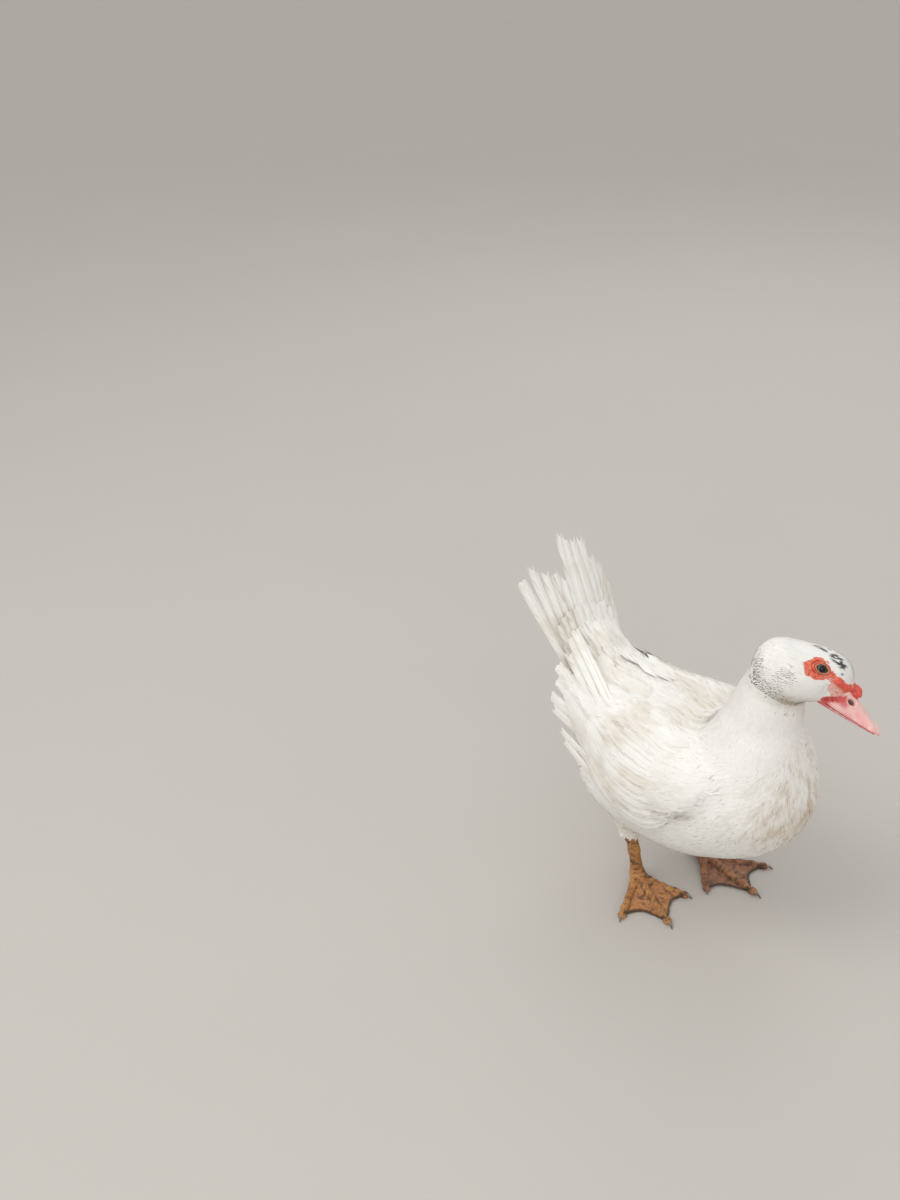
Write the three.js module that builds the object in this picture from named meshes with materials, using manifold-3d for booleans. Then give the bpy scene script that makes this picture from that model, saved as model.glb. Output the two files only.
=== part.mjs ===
// A white muscovy duck hen, standing with its tail cocked up and its head turned to its left, at life size.
// Millimetres, +Z up, the duck faces +X, and its right side is at -Y. The origin is on the floor, under the
// middle of the duck's bounding box. The outer faces are the outline of the plumage, out to the feather tips.
import * as THREE from "three";
import { mergeVertices } from "three/addons/utils/BufferGeometryUtils.js";
import Module from "manifold-3d";

const wasm = await Module();
wasm.setup();
const { sin, cos, min, max, abs, sqrt, pow, sign, PI, hypot } = Math;
const rad = THREE.MathUtils.degToRad;
const V = (x, y, z) => new THREE.Vector3(x, y, z);
const mix = (a, b, t) => a + (b - a) * t;
const clamp01 = (t) => min(1, max(0, t));
const ease = (a, b, t) => {
  const s = clamp01((t - a) / (b - a));
  return s * s * (3 - 2 * s);
};

// ---- driving dimensions, in millimetres and degrees, in the duck's own pose frame ----
const GAP = 0.3; // clearance between neighbouring solids

// Plumage masses of the trunk: centre, radii and pitch (positive lifts the front).
const TRUNK = [
  { c: [2, 0, 140], r: [117, 79, 75], pitch: 7 }, // belly and ribs
  { c: [75, 0, 167], r: [69, 69, 66], pitch: 8 }, // breast
  { c: [90, 0, 206], r: [43, 45, 42], pitch: 0 }, // crop
  { c: [-8, 0, 178], r: [104, 64, 43], pitch: -8 }, // back
  { c: [-92, 0, 176], r: [60, 55, 45], pitch: -26 }, // rump
  { c: [-64, 0, 135], r: [66, 69, 62], pitch: -22 }, // vent
  { c: [-128, 0, 212], r: [44, 37, 20], pitch: -65 }, // root of the tail
];
const TRUNK_BLEND = 24;
// Neck: points on its middle line with the radius there.
const NECK = [
  { p: [82, 0, 200], r: 48 },
  { p: [90, 0, 238], r: 36 },
  { p: [97, 0, 266], r: 30 },
  { p: [106, -2, 296], r: 27 },
];
const NECK_BLEND = 17;
// Head frame: x runs to the bill, z to the crown.
const HEAD = { p: [126.5, -1, 318.5], yaw: 41, pitch: -30, roll: -8 };
const SKULL = [
  { c: [-6, 0, -5], r: [31, 23.5, 25], pitch: 0 }, // braincase
  { c: [19, 0, 8], r: [29, 19, 19], pitch: 0 }, // crown
  { c: [8, 7, -8], r: [26, 15, 17], pitch: 0 }, // left cheek
  { c: [8, -7, -8], r: [26, 15, 17], pitch: 0 }, // right cheek
  { c: [34, 0, 11], r: [19.5, 13, 14], pitch: -30 }, // forehead
  { c: [34, 0, -6], r: [19, 13, 13], pitch: -12 }, // face, up to the bill
];
const SKULL_BLEND = 9;
const HEAD_BLEND = 16;
const EYE = { x: 15, z: 12, r: 6.6, sunk: 4.4 }; // the ball's centre lies this deep under the face
// Bill: length from the face, and how it droops and tapers.
const BILL = {
  back: 36,
  tip: 99,
  baseTop: 13.4,
  baseBottom: -20,
  tipZ: -17,
  halfBase: 12.2,
  halfMid: 9.6,
  halfTip: 10.2,
  lipBase: -13.5,
};
const KNOB = { p: [51, 0, 8], r: [13.5, 8.4, 7.2], pitch: -20 };
// Planes that part the trunk from the neck and the neck from the head.
const NECK_CUT = { p: [86, 0, 226], n: [0.42, 0, 0.907] };
const HEAD_CUT = { p: [111, -4, 294], n: [0.55, 0.33, 0.77] };
// Folded wing on the right side: its run along the body, the angles from straight up of its edges, and its thickness.
const WING = {
  front: 88,
  rear: -132,
  topFront: 44,
  topMid: 24,
  topRear: 30,
  lowFront: 98,
  lowMid: 112,
  lowRear: 100,
  thick: 8.5,
  rim: 1.8,
};
// Tail: cocked up, fanned flat feathers.
const TAIL = {
  root: [-118, 0, 200],
  raise: 65,
  half: 11.5, // half of a feather's width
  thick: 1.3,
  arch: 9, // how far the outer feathers lie behind the middle ones
};
// Tail feathers, worn to different lengths, from the duck's right to its left: where each starts and
// ends across the tail, and its length.
const RECTRICES = [
  [-26, -61, 127],
  [-22, -47, 135],
  [-18, -34, 125],
  [-14, -24, 123],
  [-10, -15, 113],
  [-4, -6, 159],
  [-1, -1, 153],
  [4, 8, 148],
  [9, 18, 146],
  [14, 26, 124],
  [19, 32, 115],
  [24, 36, 98],
];
// Legs: where each foot stands (the middle of its pad), how far it turns out, and its hock.
const LEGS = {
  right: { foot: [-40, -29, 0], heading: -21, hock: [-46, -36, 70], side: -1 },
  left: { foot: [-21, 50, 0], heading: -4, hock: [-34, 46, 70], side: 1 },
};
const TOES = [
  { name: "outer", angle: -37, length: 75, r: 4.2 },
  { name: "middle", angle: 0, length: 88, r: 4.6 },
  { name: "inner", angle: 38, length: 64, r: 4.0 },
];
const TARSUS_R = 5.6;
const PAD_Z = 11;

// ---- distance functions of the plumage's outer surface ----
const smin = (a, b, k) => {
  const h = max(k - abs(a - b), 0) / k;
  return min(a, b) - (h * h * k) / 4;
};
const ellipsoid = (x, y, z, e) => {
  const c = cos(rad(e.pitch)),
    s = sin(rad(e.pitch));
  const dx = x - e.c[0],
    dy = y - e.c[1],
    dz = z - e.c[2];
  const qx = (c * dx + s * dz) / e.r[0],
    qy = dy / e.r[1],
    qz = (-s * dx + c * dz) / e.r[2];
  const k0 = hypot(qx, qy, qz);
  const k1 = hypot(qx / e.r[0], qy / e.r[1], qz / e.r[2]);
  return k1 < 1e-9 ? -min(...e.r) : (k0 * (k0 - 1)) / k1;
};
const roundCone = (x, y, z, a, b) => {
  const ba = [b.p[0] - a.p[0], b.p[1] - a.p[1], b.p[2] - a.p[2]];
  const pa = [x - a.p[0], y - a.p[1], z - a.p[2]];
  const l2 = ba[0] ** 2 + ba[1] ** 2 + ba[2] ** 2,
    rr = a.r - b.r,
    a2 = l2 - rr * rr,
    il2 = 1 / l2;
  const dy = pa[0] * ba[0] + pa[1] * ba[1] + pa[2] * ba[2],
    dz = dy - l2;
  const x2 =
    (pa[0] * l2 - ba[0] * dy) ** 2 +
    (pa[1] * l2 - ba[1] * dy) ** 2 +
    (pa[2] * l2 - ba[2] * dy) ** 2;
  const y2 = dy * dy * l2,
    z2 = dz * dz * l2,
    k = sign(rr) * rr * rr * x2;
  if (sign(dz) * a2 * z2 > k) return sqrt(x2 + z2) * il2 - b.r;
  if (sign(dy) * a2 * y2 < k) return sqrt(x2 + y2) * il2 - a.r;
  return (sqrt(x2 * a2 * il2) + dy * rr) * il2 - a.r;
};
const headMatrix = new THREE.Matrix4().compose(
  V(...HEAD.p),
  new THREE.Quaternion().setFromEuler(
    new THREE.Euler(rad(HEAD.roll), rad(-HEAD.pitch), rad(HEAD.yaw), "ZYX"),
  ),
  V(1, 1, 1),
);
const headInverse = headMatrix.clone().invert();
const union = (x, y, z, list, k) =>
  list.reduce((d, e) => smin(d, ellipsoid(x, y, z, e), k), 1e3);
const trunkAt = (x, y, z) => union(x, y, z, TRUNK, TRUNK_BLEND);
const skullAt = (x, y, z) => {
  const q = V(x, y, z).applyMatrix4(headInverse);
  return union(q.x, q.y, q.z, SKULL, SKULL_BLEND);
};
const neckAt = (x, y, z) => {
  let d = 1e3;
  for (let i = 1; i < NECK.length; i++)
    d = smin(d, roundCone(x, y, z, NECK[i - 1], NECK[i]), 10);
  return d;
};
const plumage = (x, y, z) =>
  smin(
    smin(trunkAt(x, y, z), neckAt(x, y, z), NECK_BLEND),
    skullAt(x, y, z),
    HEAD_BLEND,
  );
// What the folded wings lie on: the trunk, carried on behind the rump to the wing tips.
const CARRIER = [
  { c: [-95, 0, 183], r: [105, 54, 37], pitch: -8 },
  { c: [20, 0, 168], r: [100, 78, 58], pitch: -3 },
];
const carrier = (x, y, z) =>
  smin(trunkAt(x, y, z), union(x, y, z, CARRIER, 20), 22);

// Distance from a point inside to the surface where field = level, along a direction.
function reach(field, o, d, level = 0, far = 220) {
  let a = 0,
    b = far;
  for (let t = 2; t < far; t += 2.5)
    if (field(o.x + d.x * t, o.y + d.y * t, o.z + d.z * t) > level) {
      b = t;
      a = t - 2.5;
      break;
    }
  for (let i = 0; i < 22; i++) {
    const m = (a + b) / 2;
    if (field(o.x + d.x * m, o.y + d.y * m, o.z + d.z * m) > level) b = m;
    else a = m;
  }
  return (a + b) / 2;
}

// ---- shapes: three.js geometries whose vertices are moved by a function ----
function warp(geometry, place) {
  const p = geometry.getAttribute("position"),
    out = new Float32Array(p.count * 3);
  for (let i = 0; i < p.count; i++) {
    const q = place(p.getX(i), p.getY(i), p.getZ(i));
    out.set([q.x, q.y, q.z], i * 3);
  }
  const g = new THREE.BufferGeometry();
  g.setAttribute("position", new THREE.BufferAttribute(out, 3));
  g.setIndex(geometry.index);
  return g;
}
function solid(geometry) {
  const g = geometry.clone();
  for (const name of Object.keys(g.attributes))
    if (name !== "position") g.deleteAttribute(name);
  const m = mergeVertices(g, 1e-4);
  const index = Array.from(m.index.array),
    kept = [];
  for (let i = 0; i < index.length; i += 3) {
    const [a, b, c] = index.slice(i, i + 3);
    if (a !== b && b !== c && a !== c) kept.push(a, b, c);
  }
  const made = new wasm.Manifold(
    new wasm.Mesh({
      numProp: 3,
      vertProperties: m.attributes.position.array,
      triVerts: new Uint32Array(kept),
    }),
  );
  if (made.volume() >= 0) return made;
  for (let i = 0; i < kept.length; i += 3)
    [kept[i + 1], kept[i + 2]] = [kept[i + 2], kept[i + 1]];
  return new wasm.Manifold(
    new wasm.Mesh({
      numProp: 3,
      vertProperties: m.attributes.position.array,
      triVerts: new Uint32Array(kept),
    }),
  );
}
// A tube: place(u, angle, rho) gives a point for u from 0 to 1 along it, with rho 1 on its wall and 0 on its axis.
const tube = (around, along, place) =>
  solid(
    warp(new THREE.CylinderGeometry(1, 1, 1, around, along), (x, y, z) =>
      place(y + 0.5, Math.atan2(z, x), hypot(x, z)),
    ),
  );
// A ball: place(direction) gives a point for each unit direction; its poles lie on x.
const ball = (around, along, place) =>
  solid(
    warp(new THREE.SphereGeometry(1, around, along), (x, y, z) =>
      place(V(y, x, z)),
    ),
  );
// A plate: place(u, v, w) with u and v from 0 to 1 and w from -1 to 1 through it.
const plate = (nu, nv, place) =>
  solid(
    warp(new THREE.BoxGeometry(1, 1, 1, nu, nv, 1), (x, y, z) =>
      place(x + 0.5, y + 0.5, 2 * z),
    ),
  );
const join = (list) => list.reduce((a, b) => a.add(b));
// Everything on the +n side of a plane.
function half(p, n, size = 600) {
  const q = new THREE.Quaternion().setFromUnitVectors(
    V(0, 0, 1),
    V(...n).normalize(),
  );
  const g = new THREE.BoxGeometry(size, size, size).translate(0, 0, size / 2);
  g.applyQuaternion(q).translate(...p);
  return solid(g);
}

// ---- trunk and neck: rings cast from a line inside the plumage ----
const spine = new THREE.CatmullRomCurve3(
  [
    V(-143, 0, 246),
    V(-131, 0, 220),
    V(-108, 0, 186),
    V(-50, 0, 160),
    V(0, 0, 154),
    V(44, 0, 162),
    V(74, 0, 192),
    V(...NECK_CUT.p),
  ],
  false,
  "centripetal",
);
const neckLine = new THREE.CatmullRomCurve3(
  [V(...NECK_CUT.p), V(97, 0, 252), V(104, -1, 275), V(...HEAD_CUT.p)],
  false,
  "centripetal",
);
const unit = (a) => V(...a).normalize();
function ringPlace(curve, nStart, nEnd, level) {
  return (u, angle, rho) => {
    const o = curve.getPointAt(clamp01(u)),
      t = curve.getTangentAt(clamp01(u));
    const n = t.clone();
    if (nStart) n.lerp(nStart, pow(1 - u, 3) > 0.001 ? pow(1 - u, 1.5) : 0);
    if (nEnd) n.lerp(nEnd, u > 0.7 ? ease(0.7, 1, u) : 0);
    n.normalize();
    const side = V(0, 1, 0).addScaledVector(n, -n.y).normalize(),
      up = n.clone().cross(side);
    const d = side
      .multiplyScalar(cos(angle))
      .addScaledVector(up, sin(angle))
      .normalize();
    return rho < 1e-6 ? o : o.addScaledVector(d, reach(plumage, o, d, level));
  };
}
const neckNormal = unit(NECK_CUT.n),
  headNormal = unit(HEAD_CUT.n);
// The trunk's rear end closes to a point at the tail's root.
function trunkSolid(level, along = 25, around = 22) {
  const rings = ringPlace(spine, null, neckNormal, level);
  return tube(around, along, (u, angle, rho) => {
    const v = pow(u, 1.15);
    return rings(v, angle, rho);
  });
}
const trunkFull = trunkSolid(0);
const trunkWide = trunkSolid(GAP);
const neck = tube(22, 7, (u, angle, rho) => {
  const lift = neckNormal.clone().multiplyScalar(GAP * (1 - u));
  return ringPlace(
    neckLine,
    neckNormal,
    headNormal,
    0,
  )(u, angle, rho).add(lift);
});

// ---- head: cast in all directions from the middle of the skull, then cut off at the neck ----
const toHead = (x, y, z) => V(x, y, z).applyMatrix4(headMatrix);
function headSolid(level) {
  return ball(20, 16, (d) => {
    const w = d.clone().transformDirection(headMatrix),
      o = V(...HEAD.p);
    return o.addScaledVector(w, reach(plumage, o, w, level, 75));
  });
}
const headHalf = half(
  V(...HEAD_CUT.p)
    .addScaledVector(headNormal, GAP)
    .toArray(),
  HEAD_CUT.n,
);
const eyeY = (side) => {
  const d = V(0, side, 0).transformDirection(headMatrix);
  return (
    side * (reach(plumage, toHead(EYE.x, 0, EYE.z), d, 0, 60) - EYE.sunk)
  );
};
const eyeBall = (side, r) =>
  ball(10, 8, (d) =>
    toHead(EYE.x + r * d.x, eyeY(side) + r * d.y, EYE.z + r * d.z),
  );
const SIDES = { right: -1, left: 1 };

// ---- bill ----
// u runs from the face to the tip; the section is a soft arch over the lip line and a shallow trough under it.
function billTop(u) {
  const line = mix(BILL.baseTop, BILL.tipZ + 1, u);
  return mix(line, BILL.tipZ + 1.2, ease(0.9, 1, u));
}
const billLip = (u) =>
  mix(BILL.lipBase, BILL.tipZ, pow(u, 0.8)) -
  sin(PI * u) -
  1.6 * ease(0.92, 1, u);
const billHalf = (u) =>
  (u < 0.55
    ? mix(BILL.halfBase, BILL.halfMid, ease(0, 0.55, u))
    : mix(BILL.halfMid, BILL.halfTip, ease(0.55, 0.82, u))) *
  sqrt(max(0.02, 1 - pow(max(0, (u - 0.8) / 0.205), 2.4)));
const billX = (u) => mix(BILL.back, BILL.tip, u);
function billUpper(extra) {
  return tube(14, 9, (u, angle, rho) => {
    const w = (billHalf(u) + extra) * rho,
      top = billTop(u) + extra,
      lip = billLip(u) - extra;
    const c = cos(angle),
      s = sin(angle);
    const y = w * sign(c) * pow(abs(c), 0.85);
    const z = s > 0 ? lip + (top - lip) * pow(s, 0.8) * rho : lip + 1.2 * s * rho;
    return toHead(billX(u) + (u > 0.99 ? extra : u < 0.01 ? -extra : 0), y, z);
  });
}
function billLower(extra) {
  return tube(12, 7, (u, angle, rho) => {
    const w = (billHalf(u) * 0.86 + extra) * rho,
      lip = billLip(u) - 1.2 - GAP + extra;
    const deep = mix(
      BILL.lipBase - BILL.baseBottom - 1.5,
      1.6,
      pow(clamp01(u * 1.04), 0.75),
    );
    const s = sin(angle),
      c = cos(angle);
    const y = w * sign(c) * pow(abs(c), 0.9);
    const z =
      s > 0 ? lip : lip - (deep + 2 * extra) * pow(-s, 0.8) * rho;
    return toHead(mix(BILL.back, BILL.tip - 4.5, u), y, z);
  });
}
const knob = (extra) =>
  ball(12, 8, (d) => {
    const a = rad(KNOB.pitch),
      x = (KNOB.r[0] + extra) * d.x,
      z = (KNOB.r[2] + extra) * d.z;
    return toHead(
      KNOB.p[0] + x * cos(a) - z * sin(a),
      (KNOB.r[1] + extra) * d.y,
      KNOB.p[2] + x * sin(a) + z * cos(a),
    );
  });

// ---- wings ----
const wingCentre = (x) =>
  mix(mix(150, 176, ease(20, 100, x)), 192, ease(-10, -160, x));
function wingEdges(u) {
  const round = pow(max(0, 1 - pow(abs(2 * u - 1), 3.2)), 0.5);
  const front = 1 - ease(0, 0.4, u),
    rear = ease(0.45, 1, u);
  const top =
    WING.topMid +
    (WING.topFront - WING.topMid) * front +
    (WING.topRear - WING.topMid) * rear;
  const low =
    WING.lowMid +
    (WING.lowFront - WING.lowMid) * front +
    (WING.lowRear - WING.lowMid) * rear;
  const middle = (top + low) / 2;
  return [mix(middle, top, max(round, 0.1)), mix(middle, low, max(round, 0.1))];
}
function wingPoint(side, u, v, h) {
  const x = mix(WING.front, WING.rear, u),
    [top, low] = wingEdges(u),
    a = rad(mix(top, low, v));
  const o = V(x, 0, wingCentre(x)),
    d = V(0, side * sin(a), cos(a));
  return o.addScaledVector(d, reach(carrier, o, d, 0) + h);
}
function wingSolid(side, extra = 0) {
  return plate(11, 6, (share, v, w) => {
    const u = mix(share, (1 - cos(PI * share)) / 2, 0.6);
    const crown = pow(max(0, sin(PI * v)), 0.6) * (1 - ease(0.35, 1, u) * 0.55);
    const h = WING.rim + (WING.thick - WING.rim) * crown * ease(-0.05, 0.25, u);
    return wingPoint(
      side,
      u,
      mix(v, 2 * v - 0.5, 0.01 * extra),
      w > 0 ? h + extra : -extra,
    );
  });
}
// Flight feathers past the folded wing: flat blades from the wing's rear to their own tips.
const blade = (nu, from, to, up, width, thick) =>
  plate(nu, 2, (u, v, w) => {
    const run = to.clone().sub(from),
      f = run.clone().normalize(),
      s = f.clone().cross(up).normalize(),
      n = s.clone().cross(f);
    const half =
      (width / 2) * mix(0.55, 1, ease(0, 0.3, u)) *
      sqrt(max(0.03, 1 - pow(max(0, (u - 0.72) / 0.285), 2.2)));
    return from
      .clone()
      .addScaledVector(run, u)
      .addScaledVector(s, half * (2 * v - 1))
      .addScaledVector(n, (w * thick) / 2 + 1.2 * sin(PI * v));
  });
// Each starts on the folded wing (share of its run, share of its width) and ends at a point of its own.
const WING_TIPS = [
  // long outer flight feathers, swept up over the tail's root; higher on the right
  {
    on: [0.68, 0.3],
    to: [-143, 27, 254],
    left: [-127, 40, 232],
    w: 24,
    up: [0.8, 0.45, 0.4],
  },
  { on: [0.7, 0.42], to: [-146, 42, 222], w: 22, up: [0.6, 0.7, 0.3] },
  // shorter ones beside the rump
  { on: [0.72, 0.55], to: [-148, 52, 189], w: 22, up: [0.2, 0.95, 0.2] },
  { on: [0.62, 0.9], to: [-117, 60, 149], w: 18, up: [0, 1, 0.1] },
];
const mirrored = (a, side) => V(a[0], side * a[1], a[2]);
const wingBlades = (side, extra = 0) =>
  WING_TIPS.map((t) =>
    blade(
      5,
      wingPoint(side, ...t.on, 4),
      mirrored((side > 0 && t.left) || t.to, side),
      mirrored(t.up, side).normalize(),
      t.w + 2 * extra,
      1.8 + 2 * extra,
    ),
  );

// ---- tail ----
// The tail's own frame: x runs up along it, y to the duck's left, z out of its front (upper) face.
const tailMatrix = new THREE.Matrix4()
  .makeBasis(
    V(-cos(rad(TAIL.raise)), 0, sin(rad(TAIL.raise))),
    V(0, 1, 0),
    V(sin(rad(TAIL.raise)), 0, cos(rad(TAIL.raise))),
  )
  .setPosition(...TAIL.root);
const tailFeathers = RECTRICES.map(([y0, y1, length], i) => {
  const a = Math.atan2(y1 - y0, length + 10);
  return plate(4, 1, (u, v, w) => {
    const x = mix(-10, length, u),
      middle = mix(y0, y1, u),
      half =
        TAIL.half *
        mix(0.6, 1, ease(0, 0.4, u)) *
        mix(1, 0.72, ease(0.5, 0.9, u)) *
        sqrt(max(0.06, 1 - pow(max(0, (u - 0.74) / 0.27), 3)));
    const q = half * (2 * v - 1);
    const y = middle + q * cos(a),
      z = -TAIL.arch * pow(y / 60, 2) + (i % 2) + (w * TAIL.thick) / 2;
    return V(x - q * sin(a), y, z).applyMatrix4(tailMatrix);
  });
});
const tailBase = ball(14, 8, (d) =>
  V(26 + 50 * d.x, -3 + 37 * d.y, -4 + 9 * d.z).applyMatrix4(tailMatrix),
);

// ---- legs and feet ----
const tubeAlong = (curve, around, along, radius, flat, upright = false) =>
  tube(around, along, (u, angle, rho) => {
    const o = curve.getPointAt(u),
      t = curve.getTangentAt(u);
    const side = (
      upright ? V(0, 1, 0).addScaledVector(t, -t.y) : V(0, 0, 1).cross(t)
    ).normalize();
    const up = t.clone().cross(side),
      r = radius(u) * rho;
    return o
      .addScaledVector(side, r * cos(angle))
      .addScaledVector(up, r * flat * sin(angle));
  });
function footFrame(leg) {
  return new THREE.Matrix4()
    .makeRotationZ(rad(leg.heading))
    .setPosition(...leg.foot);
}
// Toe angles grow to the duck's left; mirrored on the left foot so that the outer toe stays outside.
const toeAngle = (leg, toe) => rad(leg.side < 0 ? toe.angle : -toe.angle);
function footSolid(leg) {
  const m = footFrame(leg);
  const parts = TOES.map((toe) => {
    const a = toeAngle(leg, toe),
      c = cos(a),
      s = sin(a),
      L = toe.length;
    const path = new THREE.CatmullRomCurve3(
      [
        V(-3, 0, PAD_Z - 1.5),
        V(0.22 * L * c, 0.22 * L * s, 5.6),
        V(0.5 * L * c, 0.5 * L * s, 3.2),
        V(0.84 * L * c, 0.84 * L * s, 2.6),
        V(0.93 * L * c, 0.93 * L * s, 3.4),
        V(1.0 * L * c, 1.0 * L * s, 1.0),
      ].map((p) => p.applyMatrix4(m)),
      false,
      "centripetal",
    );
    return tubeAlong(
      path,
      6,
      6,
      (u) =>
        mix(toe.r * 1.15, toe.r * 0.78, u) *
        (1 + 0.1 * cos(u * PI * 6)) *
        (u > 0.86 ? mix(1, 0.16, ease(0.86, 1, u)) : 1),
      0.85,
    );
  });
  for (let i = 0; i < 2; i++) {
    const A = TOES[i],
      B = TOES[i + 1];
    parts.push(
      plate(3, 4, (u, v, w) => {
        const a = mix(toeAngle(leg, A), toeAngle(leg, B), v),
          edge =
            mix(A.length, B.length, v) * (0.86 - 0.17 * sin(PI * v)) * 1.0;
        const r = mix(4, edge, u),
          z = 1.7 + (PAD_Z - 4) * pow(1 - u, 2.2) + 0.9 * sin(PI * v) * u;
        return V(r * cos(a), r * sin(a), z + w * 0.7).applyMatrix4(m);
      }),
    );
  }
  // hind toe, high on the back of the pad
  const hind = new THREE.CatmullRomCurve3(
    [
      V(-3, -leg.side * -2, PAD_Z),
      V(-10, leg.side * -3, 8.5),
      V(-16, leg.side * -4, 5.5),
      V(-20, leg.side * -4.5, 3.0),
    ].map((p) => p.applyMatrix4(m)),
  );
  parts.push(
    tubeAlong(
      hind,
      6,
      3,
      (u) => mix(3.6, 2.6, u) * (u > 0.75 ? mix(1, 0.3, ease(0.75, 1, u)) : 1),
      1,
    ),
  );
  // ball of the foot, under the joint
  parts.push(
    ball(8, 6, (d) =>
      V(1 + 10 * d.x, 8 * d.y, PAD_Z - 3 + 9 * d.z).applyMatrix4(m),
    ),
  );
  return join(parts);
}
const SOLE = 0.9; // the toes sink this far before they are cut flat
function legSolid(leg) {
  const m = footFrame(leg);
  const top = V(...leg.hock),
    low = V(0, 0, PAD_Z).applyMatrix4(m);
  const path = new THREE.CatmullRomCurve3([
    low,
    low.clone().lerp(top, 0.5).add(V(2, 0, 0)),
    top,
  ]);
  return tubeAlong(
    path,
    10,
    6,
    (u) => TARSUS_R * (1 + 0.28 * pow(1 - u, 6) + 0.3 * pow(u, 5)),
    1.2,
    true,
  );
}
function thighSolid(leg) {
  const a = V(leg.hock[0] + 14, leg.side * 38, 112),
    b = V(leg.hock[0], leg.hock[1], 56);
  const line = new THREE.LineCurve3(a, b);
  return tube(14, 6, (u, angle, rho) => {
    const o = line.getPoint(u),
      t = line.getTangent(u),
      side = V(0, 1, 0).addScaledVector(t, -t.y).normalize(),
      up = t.clone().cross(side);
    const r = mix(27, 9.5, pow(u, 0.9)) * sqrt(max(0.2, 1 - pow(u, 6))) * rho;
    return o
      .addScaledVector(side, r * cos(angle))
      .addScaledVector(up, r * 1.15 * sin(angle));
  });
}

// ---- the pieces, each cut clear of its neighbours ----
const colours = {
  plumage: ["#f1ede4", 0.85],
  bill: ["#e79a98", 0.45],
  red: ["#cf4a38", 0.6],
  eye: ["#8d979c", 0.15],
  leg: ["#b77f45", 0.6],
};
const group = new THREE.Group();
const pose = new THREE.Group();
group.add(pose);
function add(name, made, look) {
  const m = made.getMesh(),
    n = m.numProp,
    v = new Float32Array(m.numVert * 3);
  for (let i = 0; i < m.numVert; i++)
    v.set(m.vertProperties.subarray(i * n, i * n + 3), i * 3);
  const g = new THREE.BufferGeometry();
  g.setAttribute("position", new THREE.BufferAttribute(v, 3));
  g.setIndex(new THREE.BufferAttribute(m.triVerts, 1));
  g.computeVertexNormals();
  const mesh = new THREE.Mesh(
    g,
    new THREE.MeshStandardMaterial({
      color: colours[look][0],
      roughness: colours[look][1],
      metalness: 0,
      side: THREE.DoubleSide,
    }),
  );
  mesh.name = name;
  pose.add(mesh);
}
const biggest = (s) =>
  s.decompose().sort((a, b) => b.volume() - a.volume())[0];

const upper = billUpper(0),
  lower = billLower(0),
  knobWide = knob(GAP);
const head = biggest(
  headSolid(0)
    .intersect(headHalf)
    .subtract(billUpper(GAP))
    .subtract(billLower(GAP))
    .subtract(knobWide)
    .subtract(eyeBall(-1, EYE.r + GAP))
    .subtract(eyeBall(1, EYE.r + GAP)),
);
const thighs = {},
  legs = {};
for (const [side, leg] of Object.entries(LEGS)) {
  legs[side] = legSolid(leg);
  thighs[side] = biggest(
    thighSolid(leg).subtract(trunkWide).subtract(legs[side]),
  );
}
add("trunk", trunkFull, "plumage");
add("neck", neck, "plumage");
add("head", head, "plumage");
add("bill_upper", upper, "bill");
add("bill_lower", biggest(lower.subtract(billUpper(GAP))), "bill");
add("caruncle", biggest(knob(0).subtract(billUpper(GAP))), "red");
for (const [side, s] of Object.entries(SIDES)) {
  add("eye_" + side, eyeBall(s, EYE.r), "eye");
  const wing = biggest(
    join([wingSolid(s), ...wingBlades(s)]).subtract(trunkWide),
  );
  add("wing_" + side, wing, "plumage");
}
const wingsWide = join(
  [-1, 1].flatMap((s) => [wingSolid(s, GAP), ...wingBlades(s, GAP)]),
);
add(
  "tail",
  biggest(
    join([tailBase, ...tailFeathers])
      .subtract(trunkWide)
      .subtract(wingsWide),
  ),
  "plumage",
);
const floor = half([0, 0, SOLE], [0, 0, 1]);
for (const [side, leg] of Object.entries(LEGS)) {
  add("thigh_" + side, thighs[side], "plumage");
  const foot = footSolid(leg);
  add("foot_" + side, biggest(foot.intersect(floor)), "leg");
  add(
    "leg_" + side,
    biggest(legs[side].subtract(foot).subtract(trunkWide)),
    "leg",
  );
}

// Stand the duck on z = 0, with its bounding box centred over the origin.
const bounds = new THREE.Box3().setFromObject(pose);
const middle = bounds.getCenter(V(0, 0, 0));
pose.position.set(-middle.x, -middle.y, -bounds.min.z);
group.updateMatrixWorld(true);
export default group;
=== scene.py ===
# The looks of a white muscovy duck hen: one skin, a coat of feather vanes over it, bill, eyes and claws.
# Shapes are worked out in millimetres in the duck's own pose frame (it faces +X, its right side is at -Y),
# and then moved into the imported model's frame, in metres.
import math
import numpy as np
import bpy
from mathutils import Matrix


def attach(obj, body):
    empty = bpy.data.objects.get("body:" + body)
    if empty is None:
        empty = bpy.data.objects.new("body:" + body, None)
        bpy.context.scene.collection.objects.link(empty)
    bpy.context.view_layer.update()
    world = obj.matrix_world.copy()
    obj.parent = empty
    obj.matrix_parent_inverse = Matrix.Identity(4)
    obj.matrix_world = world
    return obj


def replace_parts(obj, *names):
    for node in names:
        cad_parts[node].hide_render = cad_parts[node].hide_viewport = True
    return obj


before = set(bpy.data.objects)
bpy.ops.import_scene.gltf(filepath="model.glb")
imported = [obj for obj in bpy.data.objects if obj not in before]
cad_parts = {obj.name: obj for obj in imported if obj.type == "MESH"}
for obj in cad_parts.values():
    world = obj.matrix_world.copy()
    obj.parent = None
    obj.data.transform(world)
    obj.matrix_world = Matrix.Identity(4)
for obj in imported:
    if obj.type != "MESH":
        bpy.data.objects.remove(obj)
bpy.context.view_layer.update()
SHIFT = np.array([-1.89, 0.82, -0.9])  # pose frame -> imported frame, mm
rng = np.random.default_rng(11)
PI = math.pi
rad = np.radians


# ------------------------------------------------------------------ small helpers
def mix(a, b, t):
    return a + (b - a) * t


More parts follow.
